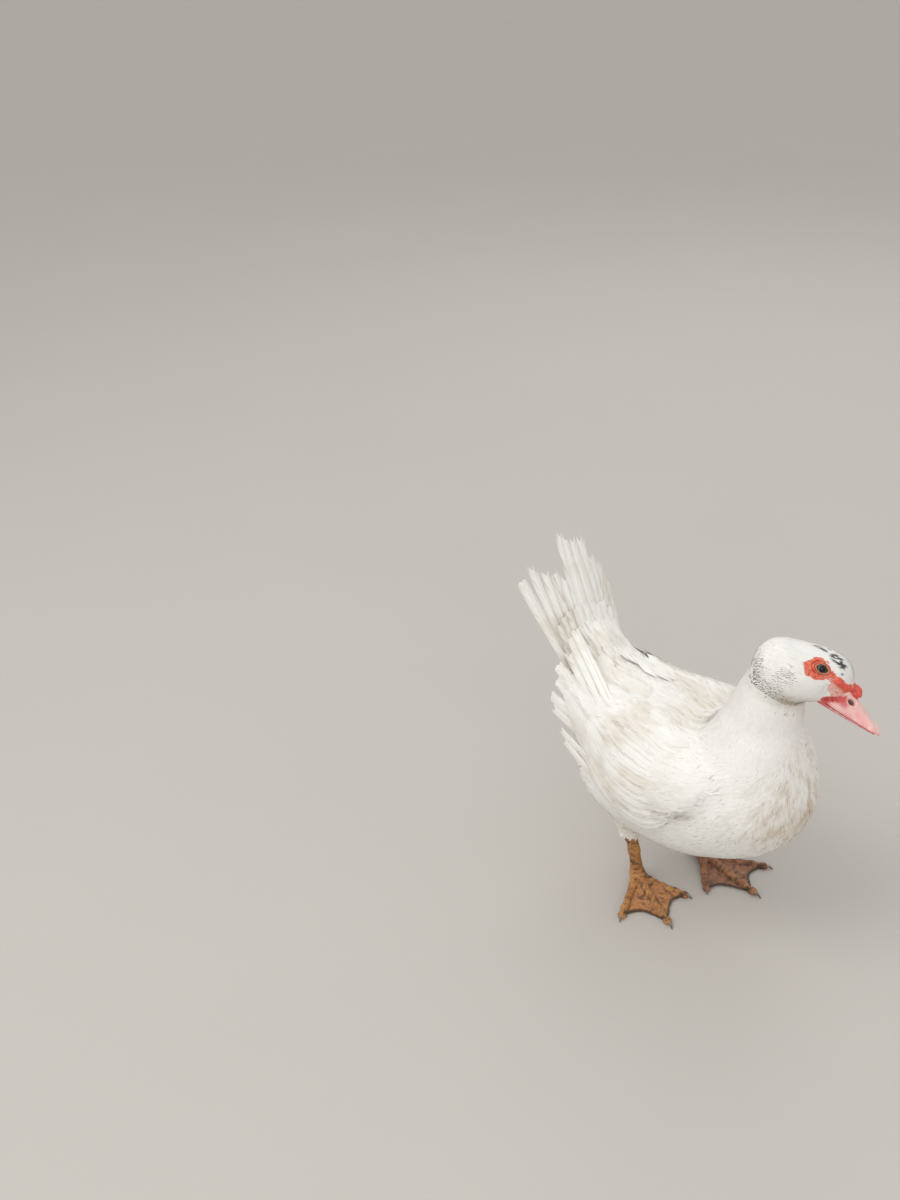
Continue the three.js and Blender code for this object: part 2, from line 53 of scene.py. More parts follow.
def ease(a, b, t):
    s = np.clip((t - a) / (b - a), 0, 1)
    return s * s * (3 - 2 * s)


def unit(v):
    v = np.asarray(v, float)
    return v / np.maximum(np.linalg.norm(v, axis=-1, keepdims=True), 1e-9)


def lattice(ix, iy, iz, seed):
    n = (ix * 374761393 + iy * 668265263 + iz * 1274126177 + seed * 974711) & 0xFFFFFFFF
    n = ((n ^ (n >> 13)) * 1103515245) & 0xFFFFFFFF
    n = ((n ^ (n >> 16)) * 362437) & 0xFFFFFFFF
    return ((n ^ (n >> 15)) & 0xFFFFFF) / float(0xFFFFFF)


def noise(P, size, seed=0):
    """Smooth value noise from 0 to 1, with cells of the given size in mm (a number or one for each axis)."""
    q = np.asarray(P) / size
    i = np.floor(q).astype(np.int64)
    f = q - i
    f = f * f * (3 - 2 * f)
    out = 0
    for dx in (0, 1):
        for dy in (0, 1):
            for dz in (0, 1):
                w = (f[..., 0] if dx else 1 - f[..., 0]) * (f[..., 1] if dy else 1 - f[..., 1]) * (f[..., 2] if dz else 1 - f[..., 2])
                out = out + w * lattice(i[..., 0] + dx, i[..., 1] + dy, i[..., 2] + dz, seed)
    return out


# ------------------------------------------------------------------ the plumage's outer surface (as in the solids)
TRUNK = [((2, 0, 140), (117, 79, 75), 7), ((75, 0, 167), (69, 69, 66), 8), ((90, 0, 206), (43, 45, 42), 0),
         ((-8, 0, 178), (104, 64, 43), -8), ((-92, 0, 176), (60, 55, 45), -26), ((-64, 0, 135), (66, 69, 62), -22),
         ((-128, 0, 212), (44, 37, 20), -65)]
NECK = [((82, 0, 200), 48), ((90, 0, 238), 36), ((97, 0, 266), 30), ((106, -2, 296), 27)]
HEAD_P = np.array([126.5, -1, 318.5])
HEAD_YAW, HEAD_PITCH, HEAD_ROLL = 41, -30, -8
SKULL = [((-6, 0, -5), (31, 23.5, 25), 0), ((19, 0, 8), (29, 19, 19), 0), ((8, 7, -8), (26, 15, 17), 0),
         ((8, -7, -8), (26, 15, 17), 0), ((34, 0, 11), (19.5, 13, 14), -30), ((34, 0, -6), (19, 13, 13), -12)]
CARRIER = [((-95, 0, 183), (105, 54, 37), -8), ((20, 0, 168), (100, 78, 58), -3)]
KNOB = ((51, 0, 8), (13.5, 8.4, 7.2), -20)
EYE_X, EYE_Z, EYE_R, EYE_SUNK = 15, 12, 6.6, 4.4
WING = dict(front=88, rear=-132, topFront=44, topMid=24, topRear=30, lowFront=98, lowMid=112, lowRear=100, thick=8.5, rim=1.8)
TAIL_ROOT, TAIL_RAISE, TAIL_HALF, TAIL_ARCH = np.array([-118.0, 0, 200]), 65, 11.5, 9
RECTRICES = [(-26, -61, 127), (-22, -47, 135), (-18, -34, 125), (-14, -24, 123), (-10, -15, 113), (-4, -6, 159),
             (-1, -1, 153), (4, 8, 148), (9, 18, 146), (14, 26, 124), (19, 32, 115), (24, 36, 98)]
LEGS = {"right": dict(foot=(-40, -29, 0), heading=-21, hock=(-46, -36, 70), side=-1),
        "left": dict(foot=(-21, 50, 0), heading=-4, hock=(-34, 46, 70), side=1)}
TOES = [(-37, 75, 4.2), (0, 88, 4.6), (38, 64, 4.0)]
TARSUS_R, PAD_Z, SOLE = 5.6, 11, 0.9


def rot(axis, a):
    c, s = math.cos(a), math.sin(a)
    return np.array({"x": [[1, 0, 0], [0, c, -s], [0, s, c]], "y": [[c, 0, s], [0, 1, 0], [-s, 0, c]],
                     "z": [[c, -s, 0], [s, c, 0], [0, 0, 1]]}[axis])


HEAD_M = rot("z", rad(HEAD_YAW)) @ rot("y", rad(-HEAD_PITCH)) @ rot("x", rad(HEAD_ROLL))


def to_local(P):
    return (np.asarray(P) - HEAD_P) @ HEAD_M


def from_local(Q):
    return np.asarray(Q) @ HEAD_M.T + HEAD_P


def smin(a, b, k):
    h = np.maximum(k - np.abs(a - b), 0) / k
    return np.minimum(a, b) - h * h * k / 4


def ellipsoid(P, e):
    (cx, cy, cz), (rx, ry, rz), pitch = e
    c, s = math.cos(rad(pitch)), math.sin(rad(pitch))
    dx, dy, dz = P[..., 0] - cx, P[..., 1] - cy, P[..., 2] - cz
    qx, qy, qz = (c * dx + s * dz) / rx, dy / ry, (-s * dx + c * dz) / rz
    k0 = np.sqrt(qx * qx + qy * qy + qz * qz)
    k1 = np.sqrt((qx / rx) ** 2 + (qy / ry) ** 2 + (qz / rz) ** 2)
    return k0 * (k0 - 1) / np.maximum(k1, 1e-6)


def round_cone(P, a, ra, b, rb):
    a, b = np.array(a, float), np.array(b, float)
    ba = b - a
    l2 = ba @ ba
    rr = ra - rb
    a2 = l2 - rr * rr
    q = P - a
    y = q @ ba
    z = y - l2
    x2 = ((q * l2 - y[..., None] * ba) ** 2).sum(-1)
    y2, z2, k = y * y * l2, z * z * l2, np.sign(rr) * rr * rr * x2
    r = (np.sqrt(x2 * a2 / l2) + y * rr) / l2 - ra
    r = np.where(np.sign(y) * a2 * y2 < k, np.sqrt(x2 + y2) / l2 - ra, r)
    return np.where(np.sign(z) * a2 * z2 > k, np.sqrt(x2 + z2) / l2 - rb, r)


def union(P, items, k):
    d = ellipsoid(P, items[0])
    for e in items[1:]:
        d = smin(d, ellipsoid(P, e), k)
    return d


def trunk(P):
    return union(P, TRUNK, 24)


def neck(P):
    d = round_cone(P, *NECK[0], *NECK[1])
    for i in (2, 3):
        d = smin(d, round_cone(P, *NECK[i - 1], *NECK[i]), 10)
    return d


def skull(P):
    return union(to_local(P), SKULL, 9)


def wing_centre(x):
    return mix(mix(150, 176, ease(20, 100, x)), 192, ease(-10, -160, x))


def wing_edges(u):
    rnd = np.sqrt(np.maximum(0, 1 - np.abs(2 * u - 1) ** 3.2))
    front, rear = 1 - ease(0, 0.4, u), ease(0.45, 1, u)
    W = WING
    top = W["topMid"] + (W["topFront"] - W["topMid"]) * front + (W["topRear"] - W["topMid"]) * rear
    low = W["lowMid"] + (W["lowFront"] - W["lowMid"]) * front + (W["lowRear"] - W["lowMid"]) * rear
    m = (top + low) / 2
    r = np.maximum(rnd, 0.1)
    return mix(m, top, r), mix(m, low, r)


def wing_uv(P):
    x = P[..., 0]
    u = (WING["front"] - x) / (WING["front"] - WING["rear"])
    a = np.degrees(np.arctan2(np.abs(P[..., 1]), P[..., 2] - wing_centre(x)))
    top, low = wing_edges(np.clip(u, 0, 1))
    return u, (a - top) / (low - top), low - top


def carrier(P, t):
    return smin(t, union(P, CARRIER, 20), 22)


def pillow(P, t):
    """Folded wing: a low cushion over the carrier, inside the wing's outline."""
    u, v, span = wing_uv(P)
    crown = np.maximum(0, np.sin(PI * np.clip(v, 0, 1))) ** 0.6 * (1 - ease(0.35, 1, u) * 0.55)
    H = WING["rim"] + (WING["thick"] - WING["rim"]) * crown * ease(-0.05, 0.25, u)
    inside = np.minimum(np.minimum(v, 1 - v) * span * 1.25, np.minimum(u, 1 - u) * 220)
    return carrier(P, t) - H + 16 * ease(8, -26, inside) + 50 * ease(0.96, 1.15, u)


def thigh(P, leg):
    hx, hy, _ = leg["hock"]
    return round_cone(P, (hx + 14, leg["side"] * 38, 112), 25, (hx, hy, 58), 10)


def outer(P, full_wing=True):
    """The coat's outer surface: the level that feather tips reach."""
    t = trunk(P)
    d = smin(smin(t, neck(P), 17), skull(P), 16)
    p = pillow(P, t)
    if not full_wing:
        p = p + 45 * ease(-20, -75, P[..., 0])
    d = smin(d, p, 12)
    for leg in LEGS.values():
        d = smin(d, thigh(P, leg), 10)
    return d


def gradient(f, P, e=0.5):
    d = f(P)
    g = np.stack([f(P + np.array(o)) - d for o in ((e, 0, 0), (0, e, 0), (0, 0, e))], -1)
    return d, unit(g)


def ray_reach(f, o, d, far=60.0):
    a, b = 0.0, far
    for _ in range(40):
        m = (a + b) / 2
        if f((o + d * m)[None])[0] > 0:
            b = m
        else:
            a = m
    return a


# ------------------------------------------------------------------ bare face, in the head's own frame (x to the bill, z to the crown)
def seg2(x, z, a, b):
    """Distance in the side view to a segment."""
    ax, az = a
    dx, dz = b[0] - ax, b[1] - az
    t = np.clip(((x - ax) * dx + (z - az) * dz) / (dx * dx + dz * dz), 0, 1)
    return np.hypot(x - ax - t * dx, z - az - t * dz)


def bare(q):
    """Above 0 on bare skin, in mm from its edge: eye patch, its point behind, the band to the bill, the bill's foot."""
    x, z = q[..., 0], q[..., 2]
    wob = 1.3 * (noise(q, 3.2, 5) - 0.5) + 0.7 * (noise(q, 1.4, 6) - 0.5)
    eye = 9.6 - np.hypot((x - 13.8) / 1.18, z - 11.6)
    point = mix(0.6, 8.4, ease(-3.5, 7, x)) - np.abs(z - 10.2)
    point = np.minimum(point, x + 3.4)
    point = np.where(x > 9, -5, point)
    band = mix(4.4, 5.6, ease(22, 42, x)) - seg2(x, z, (23, 12.4), (50, 4.6))
    low = mix(6.4, 8.6, ease(33, 42, x)) - seg2(x, z, (35, 3.5), (52, -4))
    gape = 3.9 - seg2(x, z, (34.5, -11.5), (50, -4))
    knob = np.where(x > 38, 1.3 - knob_sdf(q), -9)
    return np.maximum.reduce([eye, point, band, low, gape, knob]) + wob


def eye_centre(side):
    o = from_local(np.array([EYE_X, 0, EYE_Z]))
    d = HEAD_M @ np.array([0, side, 0.0])
    f = lambda P: smin(smin(trunk(P), neck(P), 17), skull(P), 16)
    return np.array([EYE_X, side * (ray_reach(f, o, d) - EYE_SUNK), EYE_Z])


EYES = {s: eye_centre(s) for s in (-1, 1)}
EYE_OUT = {}  # the way each eye looks, in the head's frame
for s in (-1, 1):
    f_local = lambda Q: skull(from_local(Q))
    EYE_OUT[s] = gradient(f_local, (EYES[s] + np.array([0, s * EYE_SUNK, 0]))[None])[1][0]


def knob_sdf(q):
    d = ellipsoid(q, ((47.5, 0, 8.2), (9.5, 7.4, 6.0), -20))
    d = smin(d, ellipsoid(q, ((58.0, 0, 5.0), (6.3, 6.4, 6.0), -20)), 1.4)
    for s in (-1, 1):
        d = smin(d, ellipsoid(q, ((34.5, s * 13.0, 9.6), (6.2, 4.2, 4.0), -24)), 2.2)
        d = smin(d, ellipsoid(q, ((43.0, s * 9.6, 8.0), (6.0, 4.5, 4.5), -24)), 1.6)
    return d


def coat_depth(P, q, sk):
    wn = ease(24, 2, neck(P)) * ease(200, 235, P[..., 2])
    d = mix(5.2, 2.6, wn)
    d = mix(d, 1.0, ease(30, 8, sk))
    head = ease(14, 2, sk)
    return mix(d, 0.25, head * ease(-1.5, 1.0, bare(q)))


# ------------------------------------------------------------------ legs and feet
def foot_local(P, leg):
    return (P - np.array(leg["foot"])) @ rot("z", rad(leg["heading"]))


def toe_dir(leg, toe):
    a = rad(toe[0] if leg["side"] < 0 else -toe[0])
    return math.cos(a), math.sin(a)


def leg_sdf(P, leg):
    q = foot_local(P, leg)
    low = np.array([0, 0, PAD_Z])
    top = (np.array(leg["hock"]) - np.array(leg["foot"])) @ rot("z", rad(leg["heading"]))
    mid = (low + top) / 2 + np.array([2, 0, 0])
    squash = np.array([1, 1, 1])
    d = smin(round_cone(q, low, 7.0, mid, 5.4), round_cone(q, mid, 5.4, top, 7.6), 5)
    d = smin(d, ellipsoid(q, ((1, 0, PAD_Z - 3), (10, 8, 9), 0)), 4)
    for toe in TOES:
        c, s = toe_dir(leg, toe)
        L, r = toe[1], toe[2]
        pts = [(-3, 0, PAD_Z - 1.5, r * 1.15), (0.22 * L * c, 0.22 * L * s, 5.4, r * 1.02), (0.5 * L * c, 0.5 * L * s, 3.4, r * 0.86),
               (0.72 * L * c, 0.72 * L * s, 2.9, r * 0.80), (0.88 * L * c, 0.88 * L * s, 3.0, r * 0.66)]
        for a, b in zip(pts[:-1], pts[1:]):
            d = smin(d, round_cone(q, a[:3], a[3], b[:3], b[3]), 1.6)
        for k, bulge in ((0.22, 1.14), (0.47, 1.06), (0.70, 1.04), (0.87, 0.95)):  # joints of the toe
            d = smin(d, ellipsoid(q, ((k * L * c, k * L * s, 3.0 + 2.2 * (k < 0.3)), (4.2, 4.2, r * 0.9 * bulge), 0)), 2.5)
    r = np.hypot(q[..., 0], q[..., 1])
    phi = np.arctan2(q[..., 1], q[..., 0])
    for A, B in ((TOES[0], TOES[1]), (TOES[1], TOES[2])):
        fa, fb = [rad(t[0] if leg["side"] < 0 else -t[0]) for t in (A, B)]
        v = np.clip((phi - fa) / (fb - fa), 0, 1)
        edge = mix(A[1], B[1], v) * (0.86 - 0.17 * np.sin(PI * v))
        u = np.clip((r - 4) / (edge - 4), 0, 1.0)
        fold = 0.55 * np.sin(v * 17 + 2.5 * np.sin(u * 5)) * u * (1 - 0.5 * u) * np.sin(PI * v)
        z = 1.75 + (PAD_Z - 4) * (1 - u) ** 2.2 + 0.9 * np.sin(PI * v) * u + fold + 0.25 * ease(0.93, 1.0, u)
        web = np.abs(q[..., 2] - z) - 0.62
        off = np.maximum(np.abs(phi - (fa + fb) / 2) - abs(fa - fb) / 2, 0) * r
        d = smin(d, np.maximum(np.maximum(web, r - edge), off - 0.5), 1.2)
    hs = leg["side"]
    d = smin(d, smin(round_cone(q, (-3, 2 * hs * -1, PAD_Z), 3.6, (-11, hs * -3.2, 8.0), 3.0), round_cone(q, (-11, hs * -3.2, 8.0), 3.0, (-17.5, hs * -4.2, 5.0), 2.3), 2), 2)
    return np.maximum(d, SOLE - P[..., 2])


def leg_detail(P, leg):
    """Scutes and net scales: how far the leg's skin stands out, and how much painted shade its creases get."""
    q = foot_local(P, leg)
    z = q[..., 2]
    r = np.hypot(q[..., 0], q[..., 1])
    up = ease(13, 20, z)
    # the front of the tarsus: broad scutes, the sides: a net of small scales
    ring = np.abs(((z * 0.42 + 0.3 * np.abs(q[..., 1]) * 0.4) % 1) - 0.5) * 2
    front = ease(-0.2, 0.8, unit(np.stack([q[..., 0] - 1, q[..., 1]], -1))[..., 0])
    cell = noise(P, 1.5, 3)
    out = up * (front * (0.28 * (1 - ring ** 6) - 0.14) + (1 - front) * 0.5 * (cell - 0.5))
    dark = up * (front * ring ** 6 + (1 - front) * ease(0.42, 0.25, cell))
    # toes: cross scutes on top
    best = np.full(r.shape, 99.0)
    along = np.zeros(r.shape)
    for toe in TOES:
        c, s = toe_dir(leg, toe)
        t = q[..., 0] * c + q[..., 1] * s
        w = np.abs(-q[..., 0] * s + q[..., 1] * c)
        m = (t > 0) & (w < best)
        best = np.where(m, w, best)
        along = np.where(m, t, along)
    on_toe = ease(4.6, 3.4, best) * ease(4, 9, r) * (1 - up)
    band = np.abs(((along / 2.7) % 1) - 0.5) * 2
    out = out + on_toe * (0.24 * (1 - band ** 5) - 0.1)
    dark = dark + on_toe * band ** 5
    # webs: fine crinkles that run out from the ankle, with painted shade in them and along the toes' sides
    web = (1 - on_toe) * (1 - up) * ease(6, 14, r)
    phi = np.arctan2(q[..., 1], q[..., 0])
    wrinkle = np.abs(np.sin(phi * 46 + 3 * noise(P, 9, 8)))
    out = out + web * 0.16 * (wrinkle - 0.5)
    dark = dark + web * (0.55 * ease(0.30, 0.05, wrinkle) + 0.5 * ease(5.4, 3.6, best) * ease(2.6, 4.6, best))
    # the webs' thin dark rims
    for A, B in ((TOES[0], TOES[1]), (TOES[1], TOES[2])):
        fa, fb = [rad(t[0] if leg["side"] < 0 else -t[0]) for t in (A, B)]
        v = np.clip((phi - fa) / (fb - fa), 0, 1)
        edge = mix(A[1], B[1], v) * (0.86 - 0.17 * np.sin(PI * v))
        dark = dark + 0.95 * (1 - up) * (np.sin(PI * v) > 0.12) * ease(4.5, 2.0, np.abs(r - edge))
    return out, np.clip(dark, 0, 1), on_toe, web, up


# ------------------------------------------------------------------ skin
def skin_sdf(P):
    q = to_local(P)
    sk = union(q, SKULL, 9)
    t = trunk(P)
    d = smin(smin(t, neck(P), 17), sk, 16)
    d = d + coat_depth(P, q, sk)
    p = pillow(P, t) + 5.0 + 45 * ease(-20, -75, P[..., 0])
    d = smin(d, p, 12)
    d = smin(d, knob_sdf(q), 3.0)
    for leg in LEGS.values():
        near = P[..., 2] < 130
        if np.ndim(near) and near.any():
            sub = P[near]
            e = smin(thigh(sub, leg) + 3.6, leg_sdf(sub, leg), 3.0)
            d = d.copy()
            d[near] = smin(d[near], e, 4)
    return d


def axis_steps(*parts):
    """Grid lines from (start, end, step) runs that follow each other."""
    out = [np.array([parts[0][0]], float)]
    for a, b, s in parts:
        n = max(1, int(round((b - a) / s)))
        out.append(np.linspace(a, b, n + 1)[1:])
    return np.concatenate(out)


def surface_nets(f, X, Y, Z):
    s = f < 0
    n = s.astype(np.int8)
    cnt = sum(n[i:n.shape[0] - 1 + i, j:n.shape[1] - 1 + j, k:n.shape[2] - 1 + k] for i in (0, 1) for j in (0, 1) for k in (0, 1))
    act = (cnt > 0) & (cnt < 8)
    cells = np.argwhere(act)
    idx = np.full(act.shape, -1, np.int64)
    idx[act] = np.arange(len(cells))
    acc = np.zeros((len(cells), 3))
    num = np.zeros(len(cells))
    lines = (X, Y, Z)
    for ax in range(3):
        for a in (0, 1):
            for b in (0, 1):
                off = [0, 0, 0]
                o1, o2 = [k for k in range(3) if k != ax]
                off[o1], off[o2] = a, b
                p0 = cells + off
                p1 = p0.copy()
                p1[:, ax] += 1
                f0, f1 = f[tuple(p0.T)], f[tuple(p1.T)]
                m = (f0 < 0) != (f1 < 0)
                t = f0[m] / (f0[m] - f1[m])
                g0 = np.stack([lines[k][p0[m][:, k]] for k in range(3)], -1)
                g1 = np.stack([lines[k][p1[m][:, k]] for k in range(3)], -1)
                acc[m] += g0 + (g1 - g0) * t[:, None]
                num[m] += 1
    V = acc / num[:, None]
    quads = []
    for ax in range(3):
        o1, o2 = [(1, 2), (2, 0), (0, 1)][ax]
        sl0 = [slice(None)] * 3
        sl1 = [slice(None)] * 3
        sl0[ax], sl1[ax] = slice(0, -1), slice(1, None)
        e = s[tuple(sl0)] != s[tuple(sl1)]
        g = np.argwhere(e)
        g = g[(g[:, o1] > 0) & (g[:, o2] > 0) & (g[:, o1] < s.shape[o1] - 1) & (g[:, o2] < s.shape[o2] - 1)]
        sign = s[tuple(g.T)]
        c = []
        for d1, d2 in ((-1, -1), (0, -1), (0, 0), (-1, 0)):
            h = g.copy()
            h[:, o1] += d1
            h[:, o2] += d2
            c.append(idx[tuple(h.T)])
        q = np.stack(c, -1)
        q[~sign] = q[~sign][:, ::-1]
        quads.append(q)
    return V, np.concatenate(quads)


def split(V, T, chosen):
    """Cuts the chosen triangles in four, and their neighbours so that no gap opens."""
    E = np.sort(np.concatenate([T[:, [0, 1]], T[:, [1, 2]], T[:, [2, 0]]]), 1)
    key = E[:, 0].astype(np.int64) * len(V) + E[:, 1]
    uniq, inv = np.unique(key, return_inverse=True)
    n = len(T)
    inv = inv.reshape(3, n).T
    marked = np.zeros(len(uniq), bool)
    marked[inv[chosen].ravel()] = True
    for _ in range(2):  # a triangle with two cut edges gets the third cut too, which keeps shapes good
        two = marked[inv].sum(1) == 2
        marked[inv[two].ravel()] = True
    mid = np.full(len(uniq), -1, np.int64)
    mid[marked] = len(V) + np.arange(marked.sum())
    a, b = uniq[marked] // len(V), uniq[marked] % len(V)
    V2 = np.concatenate([V, (V[a] + V[b]) / 2])
    m = mid[inv]
    cnt = (m >= 0).sum(1)
    out = [T[cnt == 0]]
    f = cnt == 3
    t, k = T[f], m[f]
    out += [np.stack([t[:, 0], k[:, 0], k[:, 2]], 1), np.stack([k[:, 0], t[:, 1], k[:, 1]], 1), np.stack([k[:, 2], k[:, 1], t[:, 2]], 1), k]
    for e in range(3):
        g = (cnt == 1) & (m[:, e] >= 0)
        t, k = T[g], m[g][:, e]
        a, b, c = t[:, e], t[:, (e + 1) % 3], t[:, (e + 2) % 3]
        out += [np.stack([a, k, c], 1), np.stack([k, b, c], 1)]
        g = (cnt == 2) & (m[:, e] < 0)
        t, k = T[g], m[g]
        a, b, c = t[:, e], t[:, (e + 1) % 3], t[:, (e + 2) % 3]
        kb, kc = k[:, (e + 1) % 3], k[:, (e + 2) % 3]
        out += [np.stack([a, b, kb], 1), np.stack([a, kb, kc], 1), np.stack([kb, c, kc], 1)]
    return V2, np.concatenate(out)


def settle(V, f, times=2, cap=2.0):
    for _ in range(times):
        d, n = gradient(f, V, 0.25)
        V = V - n * np.clip(d, -cap, cap)[:, None]
    return V


def eye_r(q, s):
    """How far a place is from the middle of the eye's opening: 4.3 at the lids' edge."""
    c, w = EYES[s], EYE_OUT[s]
    fwd = unit(np.array([1.0, 0, 0.12]) - w * (w @ np.array([1.0, 0, 0.12])))
    up = np.cross(fwd, w) * (1 if s < 0 else -1)
    rel = q - c
    a, b, h = rel @ fwd, rel @ up, rel @ w
    r = np.hypot(a / 1.17, b / mix(1.0, 0.80, ease(9, 6.5, np.abs(b))))
    return r - 0.55 * ease(3.0, 4.8, np.abs(a)) * ease(1.9, 0.2, np.abs(b)), a, b, h


def face_detail(q, n_side):
    """How far the bare skin stands out, in mm, and how much painted shade its creases get: lids, folds and small warts.
    """
    out = np.zeros(q.shape[:-1])
    crease_shade = np.zeros(q.shape[:-1])
    for s in (-1, 1):
        r, a, b, h = eye_r(q, s)
        near = (q[..., 1] * s > 2) & (h > 0)
        ang = np.arctan2(b, a)
        uneven = 0.55 + 0.9 * noise(np.stack([2.1 * np.cos(ang), 2.1 * np.sin(ang), 0.35 * r], -1), 1.0, 91)
        shift = 0.7 * (noise(np.stack([1.7 * np.cos(ang), 1.7 * np.sin(ang), 0 * r], -1), 1.0, 92) - 0.5)
        bowl = -3.6 * ease(4.15, 3.1, r)
        rim = 1.95 * np.exp(-((r - 4.75) / np.where(r > 4.75, 1.15, 0.60)) ** 2)
        folds = uneven * (0.75 * np.exp(-((r - 6.7 - shift) / 0.75) ** 2) + 0.40 * np.exp(-((r - 9.0 - shift) / 0.8) ** 2)
                          - 0.50 * np.exp(-((r - 5.75) / 0.32) ** 2) - 0.35 * np.exp(-((r - 7.9 - shift) / 0.4) ** 2))
        fade = ease(12.5, 9.8, r)
        out = np.where(near, out + (bowl + rim + folds) * fade, out)
        lines = np.exp(-((r - 5.75) / 0.4) ** 2) + 0.6 * uneven * np.exp(-((r - 7.9 - shift) / 0.45) ** 2)
        crease_shade = np.where(near, np.maximum(crease_shade, fade * (lines + 0.9 * ease(4.3, 3.8, r))), crease_shade)
    b = ease(0, 2.0, bare(q)) * ease(-6, 0, q[..., 0])
    w1, w2 = noise(q, 1.9, 21), noise(q, 1.0, 22)
    far = np.minimum.reduce([np.linalg.norm((q - EYES[s]), axis=-1) for s in (-1, 1)])
    wart = ease(0.45, 0.85, w1) * 0.75 + ease(0.5, 0.9, w2) * 0.25
    strong = mix(0.75, 1.25, ease(30, 42, q[..., 0]))
    out = out + b * strong * (wart - 0.2) * ease(6.5, 10, far)
    crease_shade = np.maximum(crease_shade, b * ease(0.38, 0.18, w1) * 0.6 * ease(6.5, 9, far))
    return out, np.clip(crease_shade, 0, 1)


def build_skin():
    X = axis_steps((-186, -70, 5.5), (-70, 72, 1.85), (72, 172, 4.0))
    Y = axis_steps((-94, -88, 4.5), (-88, 92, 1.95), (92, 98, 4.5))
    Z = axis_steps((-1.5, 13.5, 0.6), (13.5, 66, 2.4), (66, 352, 5.0))
    G = np.stack(np.meshgrid(X, Y, Z, indexing="ij"), -1)
    F = np.full(G.shape[:3], 50.0)
    k0 = np.searchsorted(Z, 13.5) + 1
    for i in range(0, len(X), 24):  # by slabs, to save memory
        blk = G[i:i + 24]
        low = blk[:, :, :k0]
        e = np.minimum.reduce([leg_sdf(low, leg) for leg in LEGS.values()])
        F[i:i + 24, :, :k0] = e
        F[i:i + 24, :, k0:] = skin_sdf(blk[:, :, k0:].reshape(-1, 3)).reshape(blk[:, :, k0:].shape[:3])
    V, Q = surface_nets(F, X, Y, Z)
    T = np.concatenate([Q[:, [0, 1, 2]], Q[:, [0, 2, 3]]])
    low = V[:, 2] < 13.5
    V[~low] = settle(V[~low], skin_sdf, 2, 1.6)
    V[low] = settle(V[low], lambda P: np.minimum.reduce([leg_sdf(P, leg) for leg in LEGS.values()]), 2, 0.4)
    # finer on the head, finest round the eyes and on the bare face
    for step in range(4):
        C = V[T].mean(1)
        q = to_local(C)
        head = (union(q, SKULL, 9) < 9) & (C[:, 2] > 270) | (knob_sdf(q) < 2)
        b = bare(q) > -3
        eye = np.minimum(np.linalg.norm(q - EYES[1], axis=1), np.linalg.norm(q - EYES[-1], axis=1)) < 14.5
        if step == 0:
            pick = head | ((C[:, 2] > 215) & (neck(C) < 5))
        elif step == 1:
            pick = head
        elif step == 2:
            pick = head & (b | eye) & (q[:, 0] > -8)
        else:
            pick = head & eye
        if step == 0:
            pick = pick | ((C[:, 2] < 74) & (C[:, 2] > 12))
        if step == 1:
            shin = (C[:, 2] < 66) & (C[:, 2] > 15) & (np.minimum.reduce([leg_sdf(C, leg) for leg in LEGS.values()]) < 1.0)
            pick = pick | shin
        n0 = len(V)
        V, T = split(V, T, pick)
        new = np.arange(len(V)) >= n0
        ok = new & (V[:, 2] > 13.5)
        V[ok] = settle(V[ok], skin_sdf, 2, 1.2)
    # displacement: face and legs
    q = to_local(V)
    d, n = gradient(skin_sdf, V, 0.3)
    onhead = (V[:, 2] > 250) & (q[:, 0] > -14)
    out = np.zeros(len(V))
    crease_shade = np.zeros(len(V))
    o, c = face_detail(q[onhead], None)
    out[onhead], crease_shade[onhead] = o, c
    legs = {}
    for name, leg in LEGS.items():
        m = (V[:, 2] < 88) & (leg_sdf(V, leg) < mix(1.5, 5.0, ease(58, 70, V[:, 2])))
        o, dk, toe, web, up = leg_detail(V[m], leg)
        lift = np.where(V[m][:, 2] > SOLE + 0.3, o, 0)
        out[m] = lift
        legs[name] = (m, dk, toe, web, up)
    low = V[:, 2] < 13.5
    if low.any():
        dl, nl = gradient(lambda P: np.minimum.reduce([leg_sdf(P, leg) for leg in LEGS.values()]), V[low], 0.3)
        n[low] = nl
    V = V + n * out[:, None]
    V[:, 2] = np.maximum(V[:, 2], SOLE)
    return V, T, n, crease_shade, legs


# ------------------------------------------------------------------ colours, by what the place is
WHITE = np.array([0.88, 0.868, 0.835])
TAN = np.array([0.50, 0.37, 0.22])
DUST = np.array([0.54, 0.44, 0.32])
BLACK = np.array([0.030, 0.028, 0.027])


def blob(P, c, r):
    c, r = np.array(c, float), np.array(r, float)
    return np.exp(-(((P - c) / r) ** 2).sum(-1))


